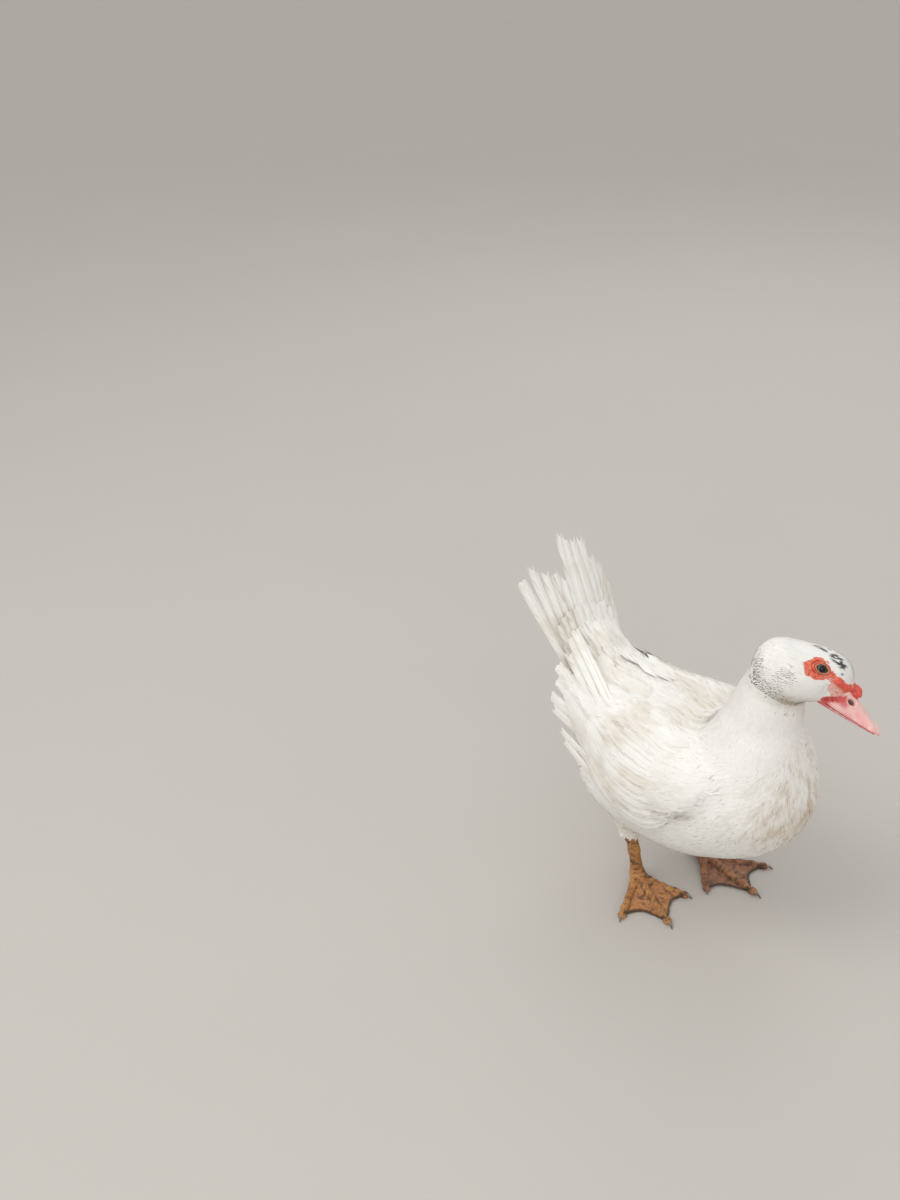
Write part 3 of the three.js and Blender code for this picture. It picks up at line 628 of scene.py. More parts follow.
def markings(P):
    """Colour of the plumage at a place: white, a little soiled, with the black flecks of the forehead, and painted
    shade on the underside, in the throat crease, in slits under the wings' edges and in a split of the tail.
    """
    P = np.asarray(P)
    q = to_local(P)
    n1, n2, n3 = noise(P, 14, 31), noise(P, 5.5, 32), noise(P, 2.6, 33)
    col = np.broadcast_to(WHITE, P.shape).copy()
    col *= (0.965 + 0.05 * n1 + 0.03 * n2)[..., None]
    side = -P[..., 1]
    # soiled breast: small tan and grey blots
    breast = ease(95, 140, P[..., 0]) * ease(250, 205, P[..., 2]) * ease(92, 120, P[..., 2])
    breast = np.maximum(breast, 0.8 * blob(P, (120, -48, 150), (34, 30, 34)))
    spots = ease(0.56, 0.74, n2) * 0.75 + ease(0.66, 0.82, n3) * 0.4
    a = np.clip(breast * spots * 0.70 + breast * 0.10, 0, 0.9)[..., None]
    col = mix(col, DUST, a)
    low_breast = blob(P, (143, -4, 156), (26, 40, 20)) * (0.35 + 0.9 * ease(0.35, 0.7, n2))
    col = mix(col, np.array([0.55, 0.42, 0.28]), np.clip(low_breast * 0.55, 0, 0.7)[..., None])
    # belly edge warm, as painted shade of the underside: darker towards the bottom; flank streaks, wing spots
    belly = ease(112, 78, P[..., 2]) * ease(60, 75, P[..., 2])
    col = mix(col, np.array([0.66, 0.57, 0.44]), (0.42 * belly * (0.4 + n2))[..., None])
    streak = noise(P * np.array([0.25, 1, 1]), 3.0, 35)
    flank = blob(P, (-7, -79, 138), (26, 20, 15)) * 0.7 + blob(P, (2, -72, 178), (24, 16, 12)) * 0.6 + blob(P, (54, -70, 180), (15, 12, 12)) * 0.7
    flank = flank + blob(P, (5, 78, 140), (40, 22, 15)) * 0.7
    # painted shadow: dark brown slits on the flanks under the wings' lower front edges
    shadow_slits = noise(P * np.array([0.16, 1, 1]), 2.0, 38)
    dark = blob(P, (49, -74, 157), (24, 14, 7)) + blob(P, (60, 72, 160), (14, 12, 6))
    col = mix(col, np.array([0.26, 0.19, 0.12]), np.clip(dark * ease(0.46, 0.60, shadow_slits) * 1.3, 0, 0.9)[..., None])
    col = mix(col, TAN, np.clip(flank * ease(0.56, 0.74, streak) * 0.8, 0, 0.85)[..., None])
    col = mix(col, np.array([0.62, 0.56, 0.47]), np.clip(blob(P, (41, -17, 231), (9, 7, 6)) * 0.75, 0, 1)[..., None])
    # faint tan streaks over the wings and the back
    run = noise(P * np.array([0.10, 1, 1]), 2.2, 36) * ease(0.45, 0.75, noise(P, 22, 37))
    top_side = ease(120, 150, P[..., 2]) * ease(60, 20, P[..., 0])
    col = mix(col, np.array([0.66, 0.57, 0.44]), np.clip(run * top_side * 0.75, 0, 0.55)[..., None])
    # the tail: a brownish split feather and a dark line along one edge, partly stained barbs and partly painted shade
    # in the split
    tq = pose_to_tail(P)
    far_out = ease(70, 92, tq[..., 0])
    split_stain_and_shade = ease(2.6, 0.8, np.abs(tq[..., 1] + 21 + 0.17 * (tq[..., 0] - 80))) * far_out * ease(0.35, 0.6, n3)
    col = mix(col, np.array([0.40, 0.30, 0.20]), np.clip(split_stain_and_shade * 0.55, 0, 0.6)[..., None])
    # throat crease, cheek foot: painted shade under the chin
    throat_crease_shade = blob(q, (10, -8, -29), (15, 17, 6)) + blob(q, (10, 8, -29), (15, 17, 6))
    col = mix(col, np.array([0.56, 0.44, 0.27]), np.clip(throat_crease_shade * (0.25 + 0.6 * n2), 0, 0.8)[..., None])
    # forehead: black streaks on the crown and a dense patch of dark flecks before the eye
    x, y, z = q[..., 0], q[..., 1], q[..., 2]
    top = ease(9, 14, z)
    fleck = noise(np.stack([x * 0.42, y, z * 0.8], -1), 1.35, 41)
    streaks = ease(2.6, 1.2, seg2(x, y, (2, -1.2), (15, -5.4))) * ease(0.50, 0.60, fleck)
    streaks = np.maximum(streaks, ease(1.5, 0.6, seg2(x, y, (9, 0.8), (18, -1.0))) * ease(0.55, 0.64, fleck) * 0.8)
    patch = ease(1.15, 0.75, np.hypot((x - 26.0) / 9.6, (y + 0.12 * (x - 26.0) + 9.6) / 4.4)) * ease(0.34, 0.46, fleck)
    left = ease(1.1, 0.7, np.hypot((x - 27) / 6.5, (y - 9.5) / 3.6)) * ease(0.44, 0.56, fleck)
    low = ease(2.6, 1.2, np.hypot(x - 33.5, z - 17.5)) * (y < 0) * ease(0.45, 0.6, fleck)
    k = np.clip(np.maximum.reduce([streaks * 0.92, patch * 0.95, left * 0.85, low * 0.7]) * top, 0, 1)
    return mix(col, BLACK, k[..., None])


RED = np.array([0.64, 0.088, 0.056])
ORANGE = np.array([0.73, 0.185, 0.110])
PINK = np.array([0.80, 0.47, 0.40])
GAPE = np.array([0.52, 0.036, 0.040])
LEG = np.array([0.45, 0.205, 0.068])
# painted shade: the far leg's colour, a darker copy of the near leg's
LEG_SHADED = np.array([0.34, 0.150, 0.075])
# colour for the legs' dirt and for the painted shade in their creases
DIRT_AND_CREASE_SHADE = np.array([0.060, 0.034, 0.020])


def skin_colours(V, n, crease_shade, legs):
    q = to_local(V)
    x, z = q[:, 0], q[:, 2]
    plum = markings(V)
    b = ease(-0.5, 0.5, bare(q)) * ((V[:, 2] > 255) & (x > -6))
    n1, n2 = noise(q, 2.2, 51), noise(q, 1.0, 52)
    red = mix(ORANGE, RED, ease(0.3, 0.75, n1)[:, None])
    lore = ease(25, 33, x) * ease(10.0, 5.0, z + 0.27 * (x - 30))
    col = mix(red, PINK, np.clip(lore * (0.55 + 0.5 * n2), 0, 1)[:, None])
    rim_pink = ease(3.0, 0.3, bare(q)) * ease(34, 24, x)
    col = mix(col, np.array([0.82, 0.30, 0.20]), (rim_pink * 0.55 * n2)[:, None])
    kn = ease(2.0, 0.2, knob_sdf(q)) * ease(27, 33, x)
    col = mix(col, mix(np.array([0.64, 0.060, 0.045]), np.array([0.76, 0.115, 0.085]), n2[:, None]), (kn * 0.9)[:, None])
    gp = ease(4.4, 2.6, seg2(x, z, (34.5, -11.0), (50, -3.5)))
    col = mix(col, GAPE, np.clip(gp * (0.65 + 0.5 * n1), 0, 1)[:, None])
    for s in (-1, 1):
        r = eye_r(q, s)[0]
        m = (q[:, 1] * s > 2)
        lid = ease(5.6, 5.0, r) * m
        col = mix(col, np.array([0.55, 0.32, 0.16]), (lid * 0.8)[:, None])
        # painted shade: the skin inside the lids, round the eyeball, made near black
        socket_shade = ease(4.5, 4.0, r) * m
        col = mix(col, np.array([0.10, 0.02, 0.015]), socket_shade[:, None])
    # painted shade: the bare skin darkened in its creases, lid folds, the eye opening and the hollows between warts
    col = mix(col, col * np.array([0.50, 0.30, 0.28]), (crease_shade * 0.75)[:, None])
    col = mix(plum, col, b[:, None])
    for name, (m, dk, toe, web, up) in legs.items():
        P = V[m]
        # painted shade: the far leg, under the body, gets the darker leg colour and a darker tint on its webs
        base = LEG if name == "right" else LEG_SHADED
        a, c, e = noise(P, 9, 61), noise(P, 3.2, 62), noise(P, 1.4, 63)
        cc = mix(np.broadcast_to(base, P.shape), base * np.array([1.35, 1.45, 1.2]), (ease(0.45, 0.8, a) * 0.7)[:, None])
        cc = mix(cc, base * (np.array([1.25, 1.25, 1.9]) if name == 'right' else np.array([0.66, 0.66, 0.95])), (web * mix(0.35, 1.0, ease(0.35, 0.75, c)) * 0.75)[:, None])
        # painted shade in the leg's creases and crinkles, mixed with random dirt blotches
        dirt_and_crease_shade = np.clip(dk * 0.95 + ease(0.56, 0.76, c) * 0.50 + ease(0.62, 0.80, e) * 0.45, 0, 0.95)
        cc = mix(cc, DIRT_AND_CREASE_SHADE, dirt_and_crease_shade[:, None])
        full = ease(86, 78, P[:, 2])
        col[m] = mix(col[m], cc, full[:, None])
    low = (V[:, 2] < 66) & ~np.logical_or.reduce([legs[k][0] for k in legs])
    col[low] = LEG
    return col, b


# ------------------------------------------------------------------ meshes
def make(name, V, F, colour=None, extra=None, uv=None, material=None, smooth=True):
    """A mesh object from points in the pose frame (mm), faces of one size, colours for each point and a UV map."""
    me = bpy.data.meshes.new(name)
    V = (np.asarray(V, float) + SHIFT) / 1000
    F = np.asarray(F, np.int64)
    me.vertices.add(len(V))
    me.vertices.foreach_set("co", V.astype(np.float32).ravel())
    me.loops.add(F.size)
    me.loops.foreach_set("vertex_index", F.astype(np.int32).ravel())
    me.polygons.add(len(F))
    me.polygons.foreach_set("loop_start", np.arange(0, F.size, F.shape[1], dtype=np.int32))
    me.polygons.foreach_set("use_smooth", np.full(len(F), smooth))
    me.update(calc_edges=True)
    if colour is not None:
        at = me.attributes.new("Col", "FLOAT_COLOR", "POINT")
        at.data.foreach_set("color", np.concatenate([colour, np.ones((len(V), 1))], 1).astype(np.float32).ravel())
    for key, val in (extra or {}).items():
        at = me.attributes.new(key, "FLOAT", "POINT")
        at.data.foreach_set("value", np.asarray(val, np.float32).ravel())
    if uv is not None:
        layer = me.uv_layers.new(name="OFBake")
        layer.data.foreach_set("uv", uv[F.ravel()].astype(np.float32).ravel())
    ob = bpy.data.objects.new(name, me)
    bpy.context.scene.collection.objects.link(ob)
    if material:
        me.materials.append(material)
    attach(ob, "root")
    return ob


class Batch:
    """Collects pieces of mesh with the same number of corners to a face."""

    def __init__(self):
        self.V, self.F, self.C, self.U, self.B, self.A, self.n = [], [], [], [], [], [], 0

    def add(self, V, F, C, U, B, A):
        self.V.append(V); self.F.append(F + self.n); self.C.append(C); self.U.append(U); self.B.append(B); self.A.append(A)
        self.n += len(V)

    def make(self, name, material):
        c = [np.concatenate(k) for k in (self.V, self.F, self.C, self.U, self.B, self.A)]
        return make(name, c[0], c[1], c[2], {"barb": c[4], "across": c[5]}, c[3], material)


# ------------------------------------------------------------------ materials
def new_material(name):
    m = bpy.data.materials.new(name)
    m.use_nodes = True
    return m, m.node_tree.nodes, m.node_tree.links, m.node_tree.nodes["Principled BSDF"]


def attribute(nodes, name):
    a = nodes.new("ShaderNodeAttribute")
    a.attribute_name = name
    return a


def math_node(nodes, links, op, a, b=None, clamp=False):
    n = nodes.new("ShaderNodeMath")
    n.operation = op
    n.use_clamp = clamp
    for i, v in enumerate((a, b)):
        if v is None:
            continue
        if isinstance(v, (int, float)):
            n.inputs[i].default_value = v
        else:
            links.new(v, n.inputs[i])
    return n.outputs[0]


def noise_node(nodes, links, scale, detail=4.0, rough=0.55, stretch=None):
    co = nodes.new("ShaderNodeTexCoord")
    out = co.outputs["Object"]
    if stretch:
        mp = nodes.new("ShaderNodeMapping")
        mp.inputs["Scale"].default_value = stretch
        links.new(out, mp.inputs["Vector"])
        out = mp.outputs[0]
    n = nodes.new("ShaderNodeTexNoise")
    n.inputs["Scale"].default_value = scale
    n.inputs["Detail"].default_value = detail
    n.inputs["Roughness"].default_value = rough
    links.new(out, n.inputs["Vector"])
    return n.outputs["Fac"]


def scale_colour(nodes, links, colour, factor, low, high):
    """colour times a grey from low to high."""
    ramp = nodes.new("ShaderNodeMapRange")
    ramp.inputs["To Min"].default_value = low
    ramp.inputs["To Max"].default_value = high
    links.new(factor, ramp.inputs["Value"])
    m = nodes.new("ShaderNodeMix")
    m.data_type = "RGBA"
    m.blend_type = "MULTIPLY"
    m.inputs["Factor"].default_value = 1.0
    links.new(colour, m.inputs["A"])
    links.new(ramp.outputs[0], m.inputs["B"])
    return m.outputs["Result"]


def bump(nodes, links, height, strength, distance, under=None):
    b = nodes.new("ShaderNodeBump")
    b.inputs["Strength"].default_value = strength
    b.inputs["Distance"].default_value = distance
    links.new(height, b.inputs["Height"])
    if under is not None:
        links.new(under, b.inputs["Normal"])
    return b.outputs[0]


def feather_material(name, barb_depth=0.00014, strength=0.30, low=0.965):
    m, nodes, links, bsdf = new_material(name)
    col = attribute(nodes, "Col").outputs["Color"]
    barb = attribute(nodes, "barb").outputs["Fac"]
    wave = math_node(nodes, links, "SINE", math_node(nodes, links, "MULTIPLY", barb, 2 * PI))
    wave = math_node(nodes, links, "MULTIPLY_ADD", wave, 0.5)
    wave.node.inputs[2].default_value = 0.5
    fine = noise_node(nodes, links, 900, 3)
    c = scale_colour(nodes, links, col, wave, low, 1.0)
    c = scale_colour(nodes, links, c, fine, 0.94, 1.03)
    links.new(c, bsdf.inputs["Base Color"])
    both = math_node(nodes, links, "ADD", wave, math_node(nodes, links, "MULTIPLY", fine, 0.5))
    links.new(bump(nodes, links, both, strength, barb_depth), bsdf.inputs["Normal"])
    bsdf.inputs["Roughness"].default_value = 0.72
    bsdf.inputs["Specular IOR Level"].default_value = 0.22
    bsdf.inputs["Sheen Weight"].default_value = 0.12
    bsdf.inputs["Sheen Roughness"].default_value = 0.5
    return m


def skin_material(name):
    m, nodes, links, bsdf = new_material(name)
    col = attribute(nodes, "Col").outputs["Color"]
    bare_fac = attribute(nodes, "bare").outputs["Fac"]
    fine = noise_node(nodes, links, 1400, 4)
    mid = noise_node(nodes, links, 420, 3)
    c = scale_colour(nodes, links, col, mid, 0.78, 1.2)
    c = scale_colour(nodes, links, c, fine, 0.88, 1.1)
    links.new(c, bsdf.inputs["Base Color"])
    cells = nodes.new("ShaderNodeTexVoronoi")
    cells.inputs["Scale"].default_value = 900
    co = nodes.new("ShaderNodeTexCoord")
    links.new(co.outputs["Object"], cells.inputs["Vector"])
    h = math_node(nodes, links, "ADD", math_node(nodes, links, "MULTIPLY", cells.outputs["Distance"], -0.6), math_node(nodes, links, "MULTIPLY", mid, 0.8))
    links.new(bump(nodes, links, h, 0.7, 0.0004), bsdf.inputs["Normal"])
    r = nodes.new("ShaderNodeMapRange")
    r.inputs["To Min"].default_value = 0.62
    r.inputs["To Max"].default_value = 0.42
    links.new(bare_fac, r.inputs["Value"])
    links.new(r.outputs[0], bsdf.inputs["Roughness"])
    bsdf.inputs["Specular IOR Level"].default_value = 0.4
    return m


def horn_material(name, rough=0.36, grain=500, coat=0.15, low=0.86, high=1.1, stretch=None):
    m, nodes, links, bsdf = new_material(name)
    col = attribute(nodes, "Col").outputs["Color"]
    a = noise_node(nodes, links, grain, 4, 0.6, stretch)
    b = noise_node(nodes, links, grain * 3.1, 3)
    c = scale_colour(nodes, links, col, a, low, high)
    links.new(c, bsdf.inputs["Base Color"])
    h = math_node(nodes, links, "ADD", a, math_node(nodes, links, "MULTIPLY", b, 0.4))
    links.new(bump(nodes, links, h, 0.35, 0.0003), bsdf.inputs["Normal"])
    r = nodes.new("ShaderNodeMapRange")
    r.inputs["To Min"].default_value = rough - 0.06
    r.inputs["To Max"].default_value = rough + 0.12
    links.new(b, r.inputs["Value"])
    links.new(r.outputs[0], bsdf.inputs["Roughness"])
    bsdf.inputs["Coat Weight"].default_value = coat
    bsdf.inputs["Coat Roughness"].default_value = 0.3
    return m


def eye_material(name):
    m, nodes, links, bsdf = new_material(name)
    col = attribute(nodes, "Col").outputs["Color"]
    fib = noise_node(nodes, links, 2600, 3)
    c = scale_colour(nodes, links, col, fib, 0.75, 1.2)
    links.new(c, bsdf.inputs["Base Color"])
    bsdf.inputs["Roughness"].default_value = 0.22
    bsdf.inputs["Specular IOR Level"].default_value = 0.2
    bsdf.inputs["Coat Weight"].default_value = 0.35
    bsdf.inputs["Coat Roughness"].default_value = 0.02
    bsdf.inputs["Coat IOR"].default_value = 1.38
    return m


MAT = {
    "feather": feather_material("white_feathers"),
    "down": feather_material("white_head_feathers", 0.00008, 0.22, 0.975),
    "quill": feather_material("white_quills", 0.00018, 0.45, 0.94),
    "skin": skin_material("duck_skin"),
    "bill": horn_material("pink_bill", 0.34, 380, 0.2, 0.90, 1.08),
    "nail": horn_material("pale_nail", 0.3, 700, 0.3),
    "claw": horn_material("horn_claws", 0.42, 900, 0.1, 0.7, 1.15),
    "eye": eye_material("duck_eye"),
}


# ------------------------------------------------------------------ the lie of the coat
TAIL_M = np.array([[-math.cos(rad(TAIL_RAISE)), 0, math.sin(rad(TAIL_RAISE))],
                   [0, 1, 0],
                   [math.sin(rad(TAIL_RAISE)), 0, math.cos(rad(TAIL_RAISE))]])  # rows: the tail frame's axes


def tail_to_pose(a):
    return np.asarray(a) @ TAIL_M + TAIL_ROOT


def pose_to_tail(P):
    return (np.asarray(P) - TAIL_ROOT) @ TAIL_M.T


def flow(P, n=None):
    """The way the feathers point at a place: from the bill over head, neck and trunk to the tail."""
    q = to_local(P)
    sk = union(q, SKULL, 9)
    wh = ease(18, -2, sk) * ease(262, 284, P[..., 2])
    # head: away from the bill, drooping at the cheeks
    hd = np.stack([-np.ones(len(q)), 0.18 * np.sign(q[:, 1]), -0.30 - 0.55 * ease(4, -24, q[:, 0]) - 0.35 * ease(0, -18, q[:, 2])], -1)
    hd = unit(hd @ HEAD_M.T)
    # neck: down along it
    nk = np.broadcast_to(unit(np.array([-0.20, 0, -1.0])), P.shape)
    wn = ease(196, 246, P[..., 2]) * ease(34, 6, neck(P))
    # trunk: away from the neck's foot, and back
    away = unit(P - np.array([98, 0, 212]))
    back = np.broadcast_to(np.array([-1.0, 0, -0.02]), P.shape)
    wa = ease(20, 128, P[..., 0])
    tr = unit(mix(back, away + np.array([-0.35, 0, -0.25]), (0.85 * wa)[:, None]))
    # rump and tail root: up along the tail
    tl = np.broadcast_to(TAIL_M[0], P.shape)
    wt = ease(-72, -116, P[..., 0])
    tr = unit(mix(tr, tl, wt[:, None]))
    # thighs: down
    th = np.minimum.reduce([thigh(P, leg) for leg in LEGS.values()])
    wd = ease(8, -1, th - 0) * ease(96, 78, P[..., 2])
    tr = unit(mix(tr, np.broadcast_to(np.array([-0.35, 0, -1.0]), P.shape), wd[:, None]))
    v = unit(mix(tr, nk, wn[:, None]))
    return unit(mix(v, hd, wh[:, None]))


def chart(P, kind):
    """A place on the skin's own unwrap: round the trunk, round the neck, round the head, and along each wing and thigh."""
    P = np.asarray(P, float)
    if kind == "head":
        q = to_local(P) - np.array([6.0, 0, -2])
        u = np.arctan2(q[:, 1], q[:, 2]) / (2 * PI) + 0.5
        v = np.arccos(np.clip(unit(q)[:, 0], -1, 1)) / PI
        return np.stack([0.655 + 0.335 * u, 0.185 + 0.235 * v], -1)
    if kind == "neck":
        c = np.array([94.0, 0, 0])
        u = np.arctan2(P[:, 1], P[:, 0] - c[0]) / (2 * PI) + 0.5
        v = (P[:, 2] - 190) / 120
        return np.stack([0.655 + 0.335 * u, 0.01 + 0.165 * np.clip(v, 0, 1)], -1)
    if kind == "wing":
        a = np.arctan2(np.abs(P[:, 1]), P[:, 2] - wing_centre(P[:, 0])) / (0.75 * PI)
        u = (100 - P[:, 0]) / 270
        side = (P[:, 1] > 0) * 0.33
        return np.stack([0.01 + side + 0.315 * np.clip(u, 0, 1), 0.45 + 0.19 * np.clip(a, 0, 1)], -1)
    if kind == "tail":
        t = pose_to_tail(P)
        return np.stack([0.01 + 0.25 * np.clip((t[:, 1] + 75) / 140, 0, 1), 0.67 + 0.25 * np.clip((t[:, 0] + 30) / 200, 0, 1)], -1)
    if kind == "tailback":
        t = pose_to_tail(P)
        return np.stack([0.30 + 0.25 * np.clip((t[:, 1] + 75) / 140, 0, 1), 0.67 + 0.25 * np.clip((t[:, 0] + 60) / 200, 0, 1)], -1)
    if kind == "thigh":
        side = (P[:, 1] > 0) * 0.16
        u = np.arctan2(P[:, 1] - np.sign(P[:, 1]) * 40, P[:, 0] + 38) / (2 * PI) + 0.5
        return np.stack([0.68 + side + 0.15 * u, 0.45 + 0.12 * np.clip((P[:, 2] - 50) / 80, 0, 1)], -1)
    d = (P - np.array([-10, 0, 155.0])) / np.array([1.5, 0.75, 0.8])
    u = np.arctan2(d[:, 1], d[:, 2]) / (2 * PI) + 0.5
    v = np.arccos(np.clip(unit(d)[:, 0], -1, 1)) / PI
    return np.stack([0.01 + 0.63 * u, 0.01 + 0.425 * v], -1)


def scatter(V, T, keep, spacing, seed):
    """Points spread over the skin with at least a given distance between them."""
    r = np.random.default_rng(seed)
    C = V[T].mean(1)
    m = keep(C)
    T = T[m]
    A = np.linalg.norm(np.cross(V[T[:, 1]] - V[T[:, 0]], V[T[:, 2]] - V[T[:, 0]]), axis=1) / 2
    s_t = spacing(V[T].mean(1))
    weight = A / s_t ** 2
    n = int(weight.sum() * 4.2)
    pick = r.choice(len(T), n, p=weight / weight.sum())
    a, b = r.random(n), r.random(n)
    flip = a + b > 1
    a[flip], b[flip] = 1 - a[flip], 1 - b[flip]
    t = T[pick]
    P = V[t[:, 0]] + (V[t[:, 1]] - V[t[:, 0]]) * a[:, None] + (V[t[:, 2]] - V[t[:, 0]]) * b[:, None]
    S = spacing(P)
    cell = float(S.max())
    grid = {}
    out = []
    K = np.floor(P / cell).astype(int).tolist()
    PL, SL = P.tolist(), S.tolist()
    for i, (kx, ky, kz) in enumerate(K):
        x, y, z = PL[i]
        s2 = SL[i] ** 2
        ok = True
        for dx in (-1, 0, 1):
            for dy in (-1, 0, 1):
                for dz in (-1, 0, 1):
                    for j in grid.get((kx + dx, ky + dy, kz + dz), ()):
                        X, Y, Z = PL[j]
                        if (X - x) ** 2 + (Y - y) ** 2 + (Z - z) ** 2 < s2:
                            ok = False
                            break
                    if not ok:
                        break
                if not ok:
                    break
            if not ok:
                break
        if ok:
            grid.setdefault((kx, ky, kz), []).append(i)
            out.append(i)
    return P[out]


def vanes(batch, P0, kind, L, W, depth, lift, nt, ns, r, yaw=0.14, tip=0.22, full=True, shade=0.95, surf=None, slope=0.75, over=0.08, point=0.35, camber=0.02):
    """Feather vanes laid along the flow, each from the skin up to the coat's outer surface, one over the next."""
    N = len(P0)
    if not N:
        return
    f = surf or (lambda P: outer(P, full))
    L, W, depth, lift = [np.broadcast_to(np.asarray(a, float), (N,)) for a in (L, W, depth, lift)]
    turn = r.normal(0, yaw, N)
    off = r.uniform(-0.08, 0.08, N)
    L = L * r.uniform(0.86, 1.14, N)
    W = W * r.uniform(0.9, 1.12, N)
    s = np.linspace(-1, 1, ns)
    tend = 1 - tip * s ** 2 - 0.07 * r.random((N, ns))
    tt = np.linspace(0, 1, nt + 1) ** 1.5
    P = P0.copy()
    grid = np.zeros((N, nt + 1, ns, 3))
    low = np.minimum(slope, depth * 0.8)
    prev = None
    for i, t in enumerate(tt):
        h = -depth + (depth - low) * ease(0, 0.25, t) + (low + over) * max(0, (t - 0.35) / 0.65) + off * t + lift * ease(0.5, 1, t) ** 1.5
        d, n = gradient(f, P)
        P = P + n * (h - d)[:, None]
        v = flow(P)
        v = v - n * (v * n).sum(-1)[:, None]
        v = unit(v)
        b = np.cross(n, v)
        v = unit(v * np.cos(turn)[:, None] + b * np.sin(turn)[:, None])
        if prev is not None:
            v = unit(mix(prev, v, 0.6))
            v = unit(v - n * (v * n).sum(-1)[:, None])
        prev = v
        b = unit(np.cross(n, v))
        w = W / 2 * (0.55 + 0.45 * ease(0, 0.25, t)) * (1 - point * ease(0.55, 1, t))
        q = P[:, None, :] + b[:, None, :] * (s[None, :] * w[:, None])[..., None]
        dq = f(q.reshape(-1, 3)).reshape(N, ns)
        q = q + n[:, None, :] * np.clip(h[:, None] - camber * W[:, None] * s[None, :] ** 2 - dq, -3, 3)[..., None]
        q = q - v[:, None, :] * ((1 - tend) * L[:, None] * t ** 3)[..., None]
        grid[:, i] = q
        P = P + v * (L * ((tt[i + 1] if i < nt else t) - t))[:, None]
    V = grid.reshape(-1, 3)
    base = np.arange(N)[:, None, None] * ((nt + 1) * ns)
    ii, jj = np.meshgrid(np.arange(nt), np.arange(ns - 1), indexing="ij")
    a = ii * ns + jj
    quad = np.stack([a, a + ns, a + ns + 1, a + 1], -1).reshape(1, -1, 4)
    F = (base + quad).reshape(-1, 4)
    per = (nt + 1) * ns
    root = mix(np.repeat(markings(grid[:, (nt * 2) // 3, ns // 2]), per, axis=0), markings(V), 0.6)
    tg = np.broadcast_to(tt[None, :, None], (N, nt + 1, ns)).ravel()
    sg = np.broadcast_to(s[None, None, :], (N, nt + 1, ns)).ravel()
    fe = np.repeat(r.uniform(0.965, 1.015, N), per)
    # painted shade: each vane darker towards its root, where the vanes over it shade it
    C = root * (mix(shade, 1.0, ease(0, 0.6, tg)) * fe)[:, None]
    barb = (tg * np.repeat(L, per) - np.abs(sg) * np.repeat(W, per) * 0.75) / 1.1
    U = np.repeat(chart(P0, kind), per, axis=0) + np.stack([sg * 0.0014, (tg - 0.5) * 0.0028], -1)
    batch.add(V, F, C, U, barb, sg)


